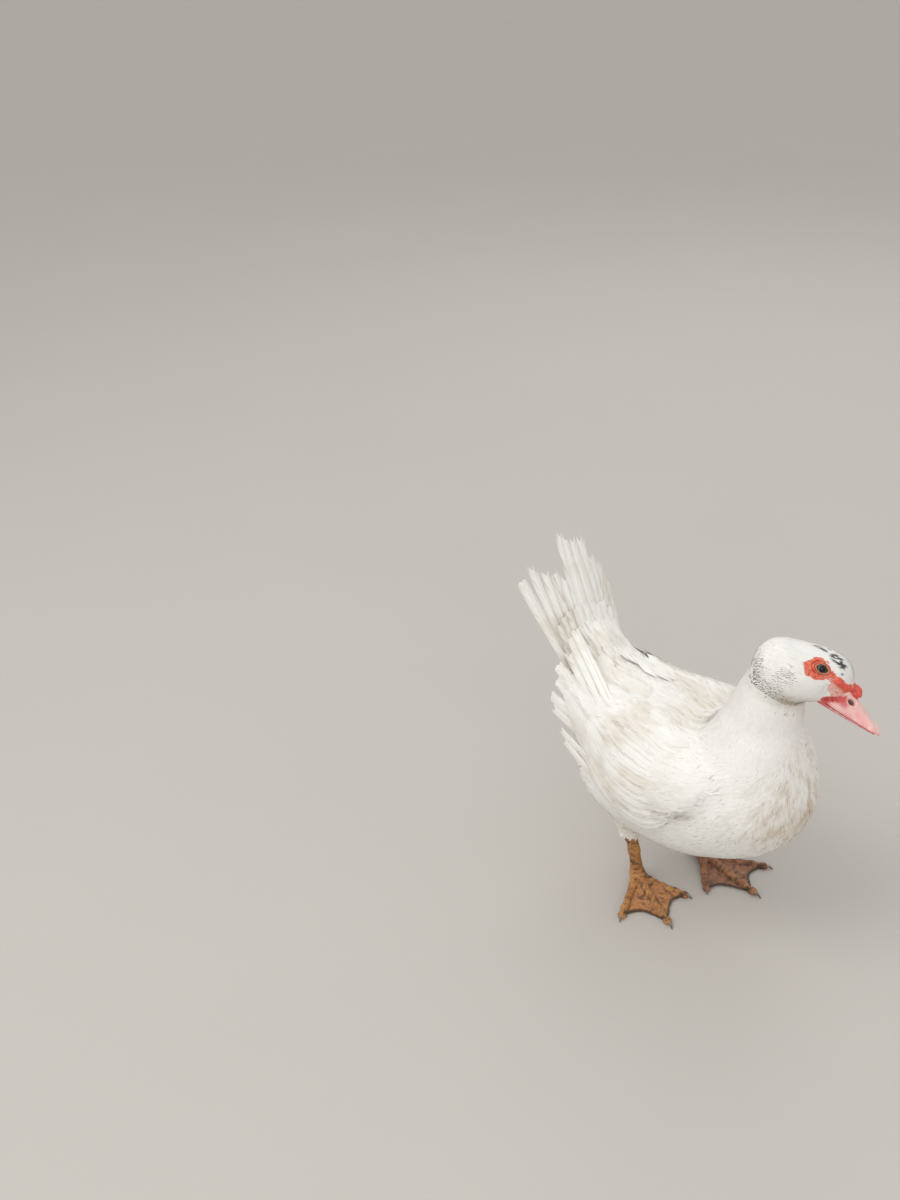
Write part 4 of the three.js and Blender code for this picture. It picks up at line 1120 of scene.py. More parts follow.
# ------------------------------------------------------------------ barbed feathers: wings and tail
def barbed(batch, C, N_, B_, L, half, r, uv0, spacing=1.15, colour=None, wear=0.0, gaps=0.25, phi0=42, phi1=20, seg=3, kappa=0.0,
           tint=None, shaft=0.85, out_at=None, clump=7, camber=0.05, hook=0.0, shaft_tip=0.985, bald=None, cap=None):
    """One feather with a shaft and separate barbs. C, N_, B_ are its middle line, normals and side vectors at even steps."""
    m = len(C)
    steps = np.linspace(0, L, m)

    def place(along, across, h):
        a = np.clip(along, 0, L)
        i = np.clip((a / L * (m - 1)).astype(int), 0, m - 2)
        t = (a / L * (m - 1) - i)[..., None]
        p = C[i] * (1 - t) + C[i + 1] * t
        n = unit(N_[i] * (1 - t) + N_[i + 1] * t)
        b = unit(B_[i] * (1 - t) + B_[i + 1] * t)
        v = unit(C[i + 1] - C[i])
        p = p + v * (along - a)[..., None]
        return p + b * across[..., None] + n * (h - kappa * across ** 2 / 2)[..., None]

    pos = np.arange(L * 0.06, L * shaft_tip, spacing)
    for side in (-1, 1):
        k = len(pos)
        t = pos / L
        phi = rad(mix(phi0, phi1, t ** 1.2)) * (1 + 0.05 * r.normal(size=k))
        w = half(t, side)
        length = w / np.sin(phi)
        grp = np.cumsum(r.random(k) < 1 / clump)
        centre = np.array([pos[grp == g].mean() for g in grp])
        wob = r.normal(0, 1, grp.max() + 1)[grp]
        dropped = r.random(grp.max() + 1)[grp] < gaps * 0.35
        pull = gaps * (0.35 + 0.65 * t) * 0.62
        worn = (r.random(grp.max() + 1) ** 1.3)[grp]
        length = length * (1 - wear * ease(0.5, 1, t) * (0.8 * worn + 0.2 * r.random(k))) * (1 + 0.015 * r.normal(size=k))
        length = np.where(dropped & (t > 0.5), length * (0.6 + 0.3 * r.random(k)), length)
        if bald is not None:
            length = length * bald(t, side)
        q = np.linspace(0, 1, seg + 1)
        ang = phi[:, None] * (1 - 0.42 * q[None, :])
        along = pos[:, None] + length[:, None] * q * np.cos(ang)
        across = length[:, None] * q * np.sin(ang)
        along = along + (centre - pos)[:, None] * pull[:, None] * q ** 1.5 * 1.5
        along = along + wob[:, None] * 0.8 * q ** 2 * gaps
        across = np.minimum(across, (w * 1.06)[:, None])
        if cap is not None:
            along = np.minimum(along, L * 1.005 - cap * (across / max(1e-6, w.max())) ** 2 + (0.5 * r.random(k))[:, None] - 0.25)
        wd = spacing * mix(1.5, 1.15, q)[None, :] * np.where(q > 0.99, 0.35, 1.0)[None, :] * np.ones((k, 1))
        h = camber * across * -1.0 + r.normal(0, 0.03, k)[:, None] + hook * q ** 2 * w[:, None]
        lo = place(along - wd / 2, side * across, h)
        hi = place(along + wd / 2, side * across, h + 0.04)
        V = np.stack([lo, hi], 2).reshape(-1, 3)
        base = (np.arange(k) * 2 * (seg + 1))[:, None, None]
        a = 2 * np.arange(seg)
        quad = np.stack([a, a + 1, a + 3, a + 2], -1)[None] if side > 0 else np.stack([a, a + 2, a + 3, a + 1], -1)[None]
        F = (base + quad).reshape(-1, 4)
        Cc = markings(V) if colour is None else np.broadcast_to(colour, V.shape).copy()
        if tint is not None:
            Cc = Cc * tint
        edge = np.repeat(np.broadcast_to(q[None, :], (k, seg + 1)).ravel(), 2)
        Cc = Cc * (1 - 0.05 * edge * np.repeat(np.repeat(r.random(k), seg + 1), 2))[:, None]
        tg = np.repeat((along / L).ravel(), 2)
        ag = np.repeat((side * across / max(1e-6, w.max())).ravel(), 2)
        U = uv0 + np.stack([np.clip(ag, -1, 1) * 0.0015, (np.clip(tg, 0, 1.05) - 0.5) * 0.010], -1)
        bb = np.tile(np.array([0.0, 0.5]), k * (seg + 1))
        batch.add(V, F, Cc, U, bb, np.clip(ag, -1, 1))
    # shaft: a thin tapered quill with a diamond section
    ks = 14
    a = np.linspace(0, L * (shaft_tip + 0.01), ks)
    rr = shaft * mix(1, 0.16, (a / L) ** 0.9)
    ring = []
    for c, s in ((1, 0), (0, 1), (-1, 0), (0, -0.7)):
        ring.append(place(a, rr * c, 0.12 + rr * 0.75 * s))
    V = np.stack(ring, 1).reshape(-1, 3)
    i, j = np.meshgrid(np.arange(ks - 1), np.arange(4), indexing="ij")
    F = np.stack([i * 4 + j, i * 4 + (j + 1) % 4, (i + 1) * 4 + (j + 1) % 4, (i + 1) * 4 + j], -1).reshape(-1, 4)[:, ::-1]
    caps = np.array([[0, 1, 2, 3], [4 * ks - 1, 4 * ks - 2, 4 * ks - 3, 4 * ks - 4]])
    F = np.concatenate([F, caps])
    Cc = np.broadcast_to(np.array([0.84, 0.80, 0.70]), V.shape) * (1 if tint is None else np.mean(tint) ** 0.3)
    U = uv0 + np.stack([np.zeros(len(V)), (np.repeat(a / L, 4) - 0.5) * 0.010], -1)
    batch.add(V, F, Cc, U, np.zeros(len(V)), np.zeros(len(V)))


def frame_line(points, up):
    """Middle line, normals and side vectors through a few points."""
    p = np.array(points, float)
    n = len(p)
    t = np.linspace(0, n - 1, 24)
    i = np.clip(t.astype(int), 0, n - 2)
    f = (t - i)[:, None]
    p0, p1, p2, p3 = p[np.maximum(i - 1, 0)], p[i], p[i + 1], p[np.minimum(i + 2, n - 1)]
    C = 0.5 * (2 * p1 + (p2 - p0) * f + (2 * p0 - 5 * p1 + 4 * p2 - p3) * f ** 2 + (-p0 + 3 * p1 - 3 * p2 + p3) * f ** 3)
    v = unit(np.gradient(C, axis=0))
    up = np.broadcast_to(np.asarray(up, float), C.shape)
    N_ = unit(up - v * (up * v).sum(-1)[:, None])
    return C, N_, np.cross(N_, v), float(np.linalg.norm(np.diff(C, axis=0), axis=1).sum())


def wing_surface(side, u, v, h):
    """A point over the folded wing, from its share of the run and of the width."""
    u, v = float(u), float(v)
    x = mix(WING["front"], WING["rear"], u)
    top, low = wing_edges(np.array(np.clip(u, 0, 1)))
    a = rad(mix(top, low, v))
    o = np.array([x, 0, float(wing_centre(np.array(x)))])
    d = np.array([0, side * math.sin(a), math.cos(a)])
    lo, hi = 0.0, 220.0
    ts = np.arange(2, 220, 4.0)
    val = carrier(o + d * ts[:, None], trunk(o + d * ts[:, None]))
    k = int(np.argmax(val > 0))
    lo, hi = ts[k] - 4, ts[k]
    for _ in range(12):
        m = (lo + hi) / 2
        p = (o + d * m)[None]
        if carrier(p, trunk(p))[0] > 0:
            hi = m
        else:
            lo = m
    return o + d * (lo + h), d


# ================================================================== build
V, T, n, crease_shade, leg_info = build_skin()
colour, bare_mask = skin_colours(V, n, crease_shade, leg_info)
skin = make("skin", V, T, colour, {"bare": bare_mask}, None, MAT["skin"])
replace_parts(skin, "trunk", "neck", "head", "caruncle", "thigh_right", "thigh_left", "leg_right", "leg_left", "foot_right", "foot_left")
print("skin", len(T))

# ---- coat of the body
Cq = lambda P: to_local(P)


def zone(P):
    """0 trunk, 1 neck, 2 head."""
    sk = skull(P)
    head = (sk < 3.5) & (P[:, 2] > 276)
    nk = ~head & (neck(P) < 6) & (P[:, 2] > 226)
    return np.where(head, 2, np.where(nk, 1, 0))


def under_wing(P):
    u, v, span = wing_uv(P)
    return (u > 0.04) & (u < 0.70) & (v > 0.06) & (v < 0.94)


def feathered(P):
    q = to_local(P)
    onhead = (skull(P) < 6) & (P[:, 2] > 262)
    return ~(onhead & (bare(q) > 0.3)) & ~(onhead & (q[:, 0] > 49)) & ~(onhead & (q[:, 0] > 34) & (q[:, 2] < 6.5)) & ~(onhead & (q[:, 0] > 31) & (q[:, 2] < -7.5))


body_keep = lambda P: (zone(P) == 0) & (P[:, 2] > 75) & (P[:, 2] < 268) & feathered(P)
neck_keep = lambda P: (zone(P) == 1)
head_keep = lambda P: (zone(P) == 2) & feathered(P)
COARSE = 1.0
thigh_near = lambda P: np.minimum.reduce([thigh(P, leg) for leg in LEGS.values()])


def body_spacing(P):
    crop = ease(190, 235, P[:, 2]) * ease(40, 70, P[:, 0])
    return COARSE * (3.45 - 1.1 * crop - 0.6 * ease(96, 80, P[:, 2]) * (thigh_near(P) < 2))


def coat(name, batch, slot="white_plumage", material="feather"):
    ob = batch.make(name, MAT[material])
    print(name, len(ob.data.polygons) * 2)
    return ob


# broad vanes over breast, back, belly and wing shoulders
roots = scatter(V, T, body_keep, body_spacing, 1)
thg = (roots[:, 2] < 94) & (thigh_near(roots) < 1.5)
crop = ease(190, 238, roots[:, 2]) * ease(40, 70, roots[:, 0])
Lb, Wb = 25 - 8 * crop, 9.4 - 4.4 * crop
for k, (name, m) in enumerate((("coat_breast", ~thg & (roots[:, 0] > 15)), ("coat_back_and_belly", ~thg & (roots[:, 0] <= 15)))):
    R = np.random.default_rng(200 + k)
    bt = Batch()
    vanes(bt, roots[m], "trunk", Lb[m], Wb[m], 5.2, 0.18 * R.random(m.sum()) ** 2, 5, 5, R, yaw=0.12, full=False, slope=0.30, over=0.04, point=0.55)
    coat(name, bt)
R = np.random.default_rng(210)
bt = Batch()
vanes(bt, roots[thg], "thigh", 15, 7.5, 3.4, 0.5 * R.random(thg.sum()), 4, 4, R, full=False)
coat("coat_thighs", bt)
# fine strands that lie on the vanes, pointed and soft
fine = scatter(V, T, body_keep, lambda P: COARSE * (2.75 - 0.8 * ease(190, 235, P[:, 2]) * ease(40, 70, P[:, 0])), 5)
for k, (name, m) in enumerate((("coat_breast_strands", fine[:, 0] > 15), ("coat_body_strands", fine[:, 0] <= 15))):
    R = np.random.default_rng(240 + k)
    bt = Batch()
    vanes(bt, fine[m], "trunk", 18, 2.3, 3.0, 0.08 + 0.3 * R.random(m.sum()) ** 3, 4, 2, R, yaw=0.2, tip=0.0, full=False, slope=0.25, over=0.12, point=0.85)
    coat(name, bt)

# ---- neck and head
roots_n = scatter(V, T, neck_keep, lambda P: 1.5 * COARSE * np.ones(len(P)), 2)
R = np.random.default_rng(220)
bt = Batch()
vanes(bt, roots_n, "neck", 14, 3.2, 2.7, 0.12 * R.random(len(roots_n)) ** 2, 4, 3, R, yaw=0.14, tip=0.12, point=0.85, slope=0.22, over=0.03)
coat("coat_neck", bt)
fine = scatter(V, T, neck_keep, lambda P: 1.55 * COARSE * np.ones(len(P)), 6)
R = np.random.default_rng(225)
bt = Batch()
vanes(bt, fine, "neck", 12, 1.5, 1.9, 0.06 + 0.3 * R.random(len(fine)) ** 3, 4, 2, R, yaw=0.22, tip=0.0, slope=0.2, over=0.08, point=0.85)
coat("coat_neck_strands", bt)


def head_spacing(P):
    return COARSE * mix(0.88, 0.74, ease(-10, 22, to_local(P)[:, 0]))


roots_h = scatter(V, T, head_keep, head_spacing, 3)
q = to_local(roots_h)
nape = ease(-14, -28, q[:, 0]) * ease(16, 2, q[:, 2])
face = ease(8, 30, q[:, 0])
edge_in = ease(0.0, -4.5, bare(q))
Lh = mix(mix(8.2, 4.8, face), 10.5, nape) * mix(0.55, 1, edge_in)
Wh = mix(mix(1.6, 1.2, face), 1.8, nape) * mix(0.8, 1, edge_in)
R = np.random.default_rng(230)
spiky = nape * ease(0.55, 1.0, R.random(len(roots_h)))
bt = Batch()
vanes(bt, roots_h, "head", Lh, Wh, mix(1.05, 0.3, 1 - edge_in), 0.03 * R.random(len(roots_h)) + 0.2 * spiky, 3, 3, R, yaw=0.12, tip=0.12, slope=0.14, over=0.02, point=0.92, camber=0.0)
coat("coat_head", bt, material="down")
# bristles on the lores: sparse, on bare pink skin
lores = lambda P: (zone(P) == 2) & (bare(to_local(P)) > -0.5) & (np.abs(to_local(P)[:, 0] - 31) < 9.5) & (np.abs(to_local(P)[:, 2] - 3.0) < 7.5) & (knob_sdf(to_local(P)) > 1.5)
fine = scatter(V, T, lores, lambda P: 1.35 * COARSE * np.ones(len(P)), 7)
R = np.random.default_rng(235)
bt = Batch()
vanes(bt, fine, "head", 3.2, 0.34, 0.25, 0.12 + 0.25 * R.random(len(fine)), 2, 2, R, yaw=0.3, tip=0.0, slope=0.2, over=0.15, point=0.85)
coat("coat_lores", bt, material="down")

# ---- scapulars: long soft feathers from the shoulders over the wings' inner edges
SCAP = lambda P: outer(P, True) - 0.9
r7 = np.random.default_rng(250)
xs, ys = r7.uniform(-62, 52, 2400), r7.uniform(-62, 62, 2400)
zs = np.full(2400, 190.0)
for _ in range(8):
    Pq = np.stack([xs, ys, zs], -1)
    zs = zs - outer(Pq, True)
Pq = np.stack([xs, ys, zs], -1)
keep = []
for i in range(len(Pq)):  # at least 8 mm apart
    if all((Pq[i, 0] - Pq[j, 0]) ** 2 / 1.6 + (Pq[i, 1] - Pq[j, 1]) ** 2 > (5.6 * COARSE) ** 2 for j in keep):
        keep.append(i)
sc = Pq[keep]
sc = sc - gradient(lambda P: outer(P, True), sc)[1] * 3.0
R = np.random.default_rng(251)
bt = Batch()
vanes(bt, sc, "wing", 44 - 10 * ease(30, 50, sc[:, 0]), 12.5, 3.2, 0.2 * R.random(len(sc)), 8, 5, R, yaw=0.09, surf=SCAP, slope=0.6, tip=0.12, over=0.2, point=0.6)
coat("coat_scapulars", bt)
R = np.random.default_rng(255)
more = np.concatenate([sc, sc + np.array([2.6, 2.1, 0]), sc + np.array([-2.4, 2.5, 0]), sc + np.array([0.3, -2.7, 0])])
bt = Batch()
vanes(bt, more, "wing", 26, 2.0, 2.2, 0.1 + 0.25 * R.random(len(more)) ** 2, 5, 2, R, yaw=0.14, tip=0.0, surf=SCAP, slope=0.5, over=0.45, point=0.85)
coat("coat_scapular_strands", bt)

# ---- soft feathers at the sides of the rump, under the wings' inner edges
RUMP = lambda P: carrier(P, trunk(P)) - 0.8
r8 = np.random.default_rng(260)
ys = r8.uniform(14, 54, 1200) * r8.choice([-1, 1], 1200)
Pq = np.stack([r8.uniform(-112, -34, 1200), ys, np.full(1200, 190.0)], -1)
for _ in range(10):
    Pq[:, 2] -= RUMP(Pq)
keep = []
for i in range(len(Pq)):
    if all(((Pq[i] - Pq[j]) ** 2).sum() > (5.4 * COARSE) ** 2 for j in keep):
        keep.append(i)
sc = Pq[keep]
sc = sc - gradient(RUMP, sc)[1] * 2.6
R = np.random.default_rng(261)
bt = Batch()
vanes(bt, sc, "trunk", 34 - 12 * ease(-80, -110, sc[:, 0]), 11, 2.6, 0.2 * R.random(len(sc)), 7, 5, R, yaw=0.09, surf=RUMP, slope=0.6, tip=0.14, over=0.15, point=0.6)
coat("coat_rump_sides", bt)

# ---- wings: rows of long feathers at the rear, and flight feathers past them


def crown_height(u, v):
    c = max(0.0, math.sin(PI * min(max(v, 0), 1))) ** 0.6 * (1 - float(ease(0.35, 1, np.array(u))) * 0.55)
    return WING["rim"] + (WING["thick"] - WING["rim"]) * c * float(ease(-0.05, 0.25, np.array(u)))


for side, name in ((-1, "wing_right"), (1, "wing_left")):
    R = np.random.default_rng(300 + side)
    bt = Batch()
    rows = [  # start and end share of the run, height over what lies under it, width, how many, share of the width, spacing of the barbs
        (0.40, 0.985, -2.2, 22, 15, 0.07, 0.97, 1.5),   # secondaries
        (0.24, 0.78, -0.4, 19, 16, 0.05, 0.97, 1.6),    # greater coverts
        (0.12, 0.56, 0.7, 18, 15, 0.08, 0.95, 1.6),     # median coverts
        (0.34, 0.93, 0.4, 25, 7, 0.02, 0.42, 1.6),      # tertials
    ]
    for u0, u1, h, wd, cnt, v0, v1, sp in rows:
        for k in range(cnt):
            v = mix(v0, v1, (k + 0.5) / cnt) + R.normal(0, 0.008)
            e = u1 - 0.10 * abs(v - 0.45) - 0.02 * R.random() - 0.03 * (k % 2)
            if side > 0 and v < 0.25:
                e = min(e, 0.80)
            us = np.linspace(u0 - 0.03 * R.random(), e, 9)
            pts, ups = [], []
            for i, u in enumerate(us):
                hh = crown_height(u, v) * (0.25 + 0.75 * float(ease(-0.02, 0.22, np.array(v)))) + h + 0.10 * (k % 3)
                hh -= 16 * float(ease(8, -26, np.array(min(v, 1 - v) * 100.0))) + 2.6 * float(ease(0.25, 0.0, np.array(v)))
                hh = mix(-3.5, hh, min(1, i / 3.5)) + 0.5 * (i / 8) ** 2
                p, d = wing_surface(side, u, v + 0.02 * math.sin(i / 8 * PI), hh)
                pts.append(p)
                ups.append(d)
            C, N_, B_, L = frame_line(pts, np.mean(ups, 0))
            ui = np.linspace(0, 8, 24)
            up = np.stack([np.interp(ui, np.arange(9), np.array(ups)[:, c]) for c in range(3)], -1)
            vv = unit(np.gradient(C, axis=0))
            N_ = unit(up - vv * (up * vv).sum(-1)[:, None])
            B_ = np.cross(N_, vv)
            hw = wd / 2 * R.uniform(0.92, 1.08)
            half = lambda t, s, hw=hw: hw * (0.55 + 0.45 * ease(0, 0.3, t)) * np.sqrt(np.maximum(0.05, 1 - np.maximum(0, (t - 0.72) / 0.29) ** 2.3))
            barbed(bt, C, N_, B_, L, half, R, chart(C[2][None], "wing")[0], spacing=sp * COARSE, gaps=0.2, kappa=1 / 62, shaft=0.5, camber=0.0, wear=0.06, phi1=30, clump=9, cap=5.0)
    # flight feathers that leave the wing
    tips = [
        ((0.66, 0.20), (-140, 25, 258) if side < 0 else (-120, 47, 206), 17, (0.8, 0.45, 0.4), 0.9),
        ((0.68, 0.27), (-144, 28, 253) if side < 0 else (-123, 49, 203), 20, (0.8, 0.45, 0.4), 0.2),
        ((0.69, 0.34), (-147, 33, 243) if side < 0 else (-127, 51, 200), 19, (0.75, 0.55, 0.35), -0.8),
        ((0.70, 0.42), (-146, 42, 222), 23, (0.6, 0.7, 0.3), 0.4),
        ((0.71, 0.50), (-143, 48, 208), 20, (0.45, 0.8, 0.25), -0.7),
        ((0.72, 0.56), (-147, 52, 189), 21, (0.2, 0.95, 0.2), 0.3),
        ((0.70, 0.66), (-140, 55, 176), 19, (0.15, 0.95, 0.15), -0.6),
        ((0.64, 0.80), (-124, 59, 158), 17, (0, 1, 0.1), -0.4),
        ((0.62, 0.90), (-117, 60, 149), 16, (0, 1, 0.1), 0.3),
    ]
    for on, to, wd, up, dh in tips:
        hb = crown_height(on[0], on[1])
        p0, d0 = wing_surface(side, on[0] - 0.16, on[1], hb - 4.5)
        p1, d1 = wing_surface(side, on[0], on[1], hb - 2.4 + dh)
        end = np.array([to[0], side * to[1], to[2]], float)
        upv = np.array([up[0], side * up[1], up[2]], float)
        mid = p1 + (end - p1) * 0.5 + unit(upv) * 1.2
        C, N_, B_, L = frame_line([p0, p1, mid, end], upv)
        C = C + N_ * dh
        hw = wd / 2
        half = lambda t, s, hw=hw: hw * (0.62 + 0.38 * ease(0, 0.35, t)) * (0.80 if s * side > 0 else 1.15) * np.sqrt(np.maximum(0.04, 1 - np.maximum(0, (t - 0.84) / 0.165) ** 2.6))
        barbed(bt, C, N_, B_, L, half, R, chart(C[2][None], "wing")[0], spacing=1.1 * COARSE, gaps=0.12, shaft=0.9, camber=0.08, wear=0.03, phi0=42, phi1=36, cap=5.0 if on[1] < 0.6 else None)
    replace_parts(coat("coat_" + name, bt, material="quill"), name)

# ---- tail


def over_rump(x, y, sign):
    """How far the coat of the rump stands from the tail's plane there, on its upper (+1) or under (-1) side."""
    z = 0.0
    for _ in range(10):
        d = float(outer(tail_to_pose([x, y, sign * z])[None], False)[0])
        if d > 0:
            break
        z += max(1.0, -d)
    return min(z, 26.0)


R = np.random.default_rng(400)
bt = Batch()
for i, (y0, y1, length) in enumerate(RECTRICES):
    rank = -abs(i - 6.2)
    line = []
    for t in np.linspace(0, 1, 6):
        x, y = mix(-10.0, length, t), mix(y0, y1, t) + 1.0 * math.sin(t * PI) * np.sign(y1)
        line.append(tail_to_pose([x, y, -TAIL_ARCH * (y / 60) ** 2 + 0.42 * rank + 1.2]))
    C, N_, B_, L = frame_line(line, TAIL_M[2])
    worn = (0.04, 0.26, 0.28, 0.22, 0.30, 0.34, 0.42, 0.30, 0.24, 0.30, 0.26, 0.16)[i]
    gap = (0.15, 0.4, 0.4, 0.4, 0.45, 0.4, 0.5, 0.35, 0.3, 0.35, 0.3, 0.25)[i]
    hw = 13.8 * (0.92, 0.92, 0.94, 0.92, 0.98, 0.96, 0.94, 0.98, 0.98, 0.96, 0.98, 0.98)[i]

    def half(t, s, hw=hw, i=i):
        narrow = 1 - (0.04 if i == 0 else 0.16) * ease(0.7, 1.0, t)
        end = np.sqrt(np.maximum(0.03, 1 - np.maximum(0, (t - 0.80) / 0.205) ** (2.4 if i == 0 else 1.7)))
        return hw * (0.6 + 0.4 * ease(0, 0.3, t)) * narrow * end * (1.0 if s * np.sign(y1 if y1 else 1) < 0 else 0.90)

    barbed(bt, C, N_, B_, L, half, R, chart(C[6][None], "tail")[0], spacing=1.05 * COARSE, gaps=gap, wear=worn, shaft=1.0, camber=0.05, phi0=42, phi1=40 if i == 0 else 27, clump=5, seg=4, shaft_tip=0.99, cap=6.0 if i == 0 else None)
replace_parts(coat("coat_tail", bt, material="quill"), "tail")

bt = Batch()
R = np.random.default_rng(410)
for side_up, count, x0, x1, lift, wd in ((1, 10, 6, 84, 0.2, 20), (1, 11, -12, 64, 0.8, 19), (1, 11, -32, 40, 1.3, 19), (1, 9, -50, 14, 1.5, 18),
                                         (-1, 10, 0, 88, 0.2, 21), (-1, 11, -20, 66, 0.9, 20), (-1, 11, -44, 42, 1.4, 20)):
    for k in range(count):
        g = mix(-1, 1, (k + 0.5) / count) + R.normal(0, 0.03)
        ya, yb = g * 25, g * 37 - 4
        xe = x1 - 14 * g * g + R.normal(0, 3)
        line = []
        for t in np.linspace(0, 1, 8):
            x, y = mix(x0, xe, t), mix(ya, yb, t)
            bump_z = over_rump(x, y, side_up)
            z = side_up * (max(bump_z, 1.5 + 1.5 * (1 - t)) + lift + 0.2 * (k % 2) - 6.0 * (1 - min(1, t * 2.5)) ** 1.5) - TAIL_ARCH * (y / 60) ** 2 * (bump_z < 1)
            line.append(tail_to_pose([x, y, z]))
        C, N_, B_, L = frame_line(line, TAIL_M[2] * side_up)
        hw = wd / 2
        half = lambda t, s, hw=hw: hw * (0.5 + 0.5 * ease(0, 0.35, t)) * np.sqrt(np.maximum(0.05, 1 - np.maximum(0, (t - 0.62) / 0.40) ** 2.2))
        barbed(bt, C, N_, B_, L, half, R, chart(C[2][None], "tail" if side_up > 0 else "tailback")[0], spacing=1.4 * COARSE, gaps=0.25, wear=0.08, shaft=0.4, camber=0.05, phi0=44, phi1=30, clump=8, cap=5.0)
coat("coat_tail_coverts", bt, material="quill")


# ------------------------------------------------------------------ bill
BILL = dict(back=36, tip=99, baseTop=13.4, baseBottom=-20, tipZ=-17, halfBase=12.2, halfMid=9.6, halfTip=10.2, lipBase=-13.5)


def bill_top(u):
    return mix(mix(BILL["baseTop"], BILL["tipZ"] + 1, u), BILL["tipZ"] + 1.2, ease(0.9, 1, u))


def bill_lip(u):
    return mix(BILL["lipBase"], BILL["tipZ"], u ** 0.8) - np.sin(PI * u) - 1.6 * ease(0.92, 1, u)


def bill_half(u):
    w = np.where(u < 0.55, mix(BILL["halfBase"], BILL["halfMid"], ease(0, 0.55, u)), mix(BILL["halfMid"], BILL["halfTip"], ease(0.55, 0.82, u)))
    return w * np.sqrt(np.maximum(0.02, 1 - np.maximum(0, (u - 0.8) / 0.205) ** 2.4))


def tube_faces(nu, na):
    i, j = np.meshgrid(np.arange(nu - 1), np.arange(na), indexing="ij")
    F = np.stack([i * na + j, (i + 1) * na + j, (i + 1) * na + (j + 1) % na, i * na + (j + 1) % na], -1).reshape(-1, 4)
    return F


def close(V, F, nu, na):
    """Caps both ends of a tube with fans, as quads with a doubled corner avoided: returns triangles."""
    T = np.concatenate([F[:, [0, 1, 2]], F[:, [0, 2, 3]]])
    a, b = len(V), len(V) + 1
    V = np.concatenate([V, V[:na].mean(0)[None], V[(nu - 1) * na:nu * na].mean(0)[None]])
    j = np.arange(na)
    T = np.concatenate([T, np.stack([np.full(na, a), j, (j + 1) % na], 1)[:, [0, 1, 2]],
                        np.stack([np.full(na, b), (nu - 1) * na + (j + 1) % na, (nu - 1) * na + j], 1)])
    return V, T


def outward(V, T):
    vol = np.einsum("ij,ij->i", V[T[:, 0]], np.cross(V[T[:, 1]], V[T[:, 2]])).sum()
    return T if vol > 0 else T[:, ::-1]


NOSTRIL = np.array([58.3, 0, -2.6])


def nostril(q):
    a = rad(-15)
    x, z = q[..., 0] - NOSTRIL[0], q[..., 2] - NOSTRIL[2]
    along, across = x * math.cos(a) + z * math.sin(a), -x * math.sin(a) + z * math.cos(a)
    return np.sqrt((along / 4.7) ** 2 + (across / 2.9) ** 2)


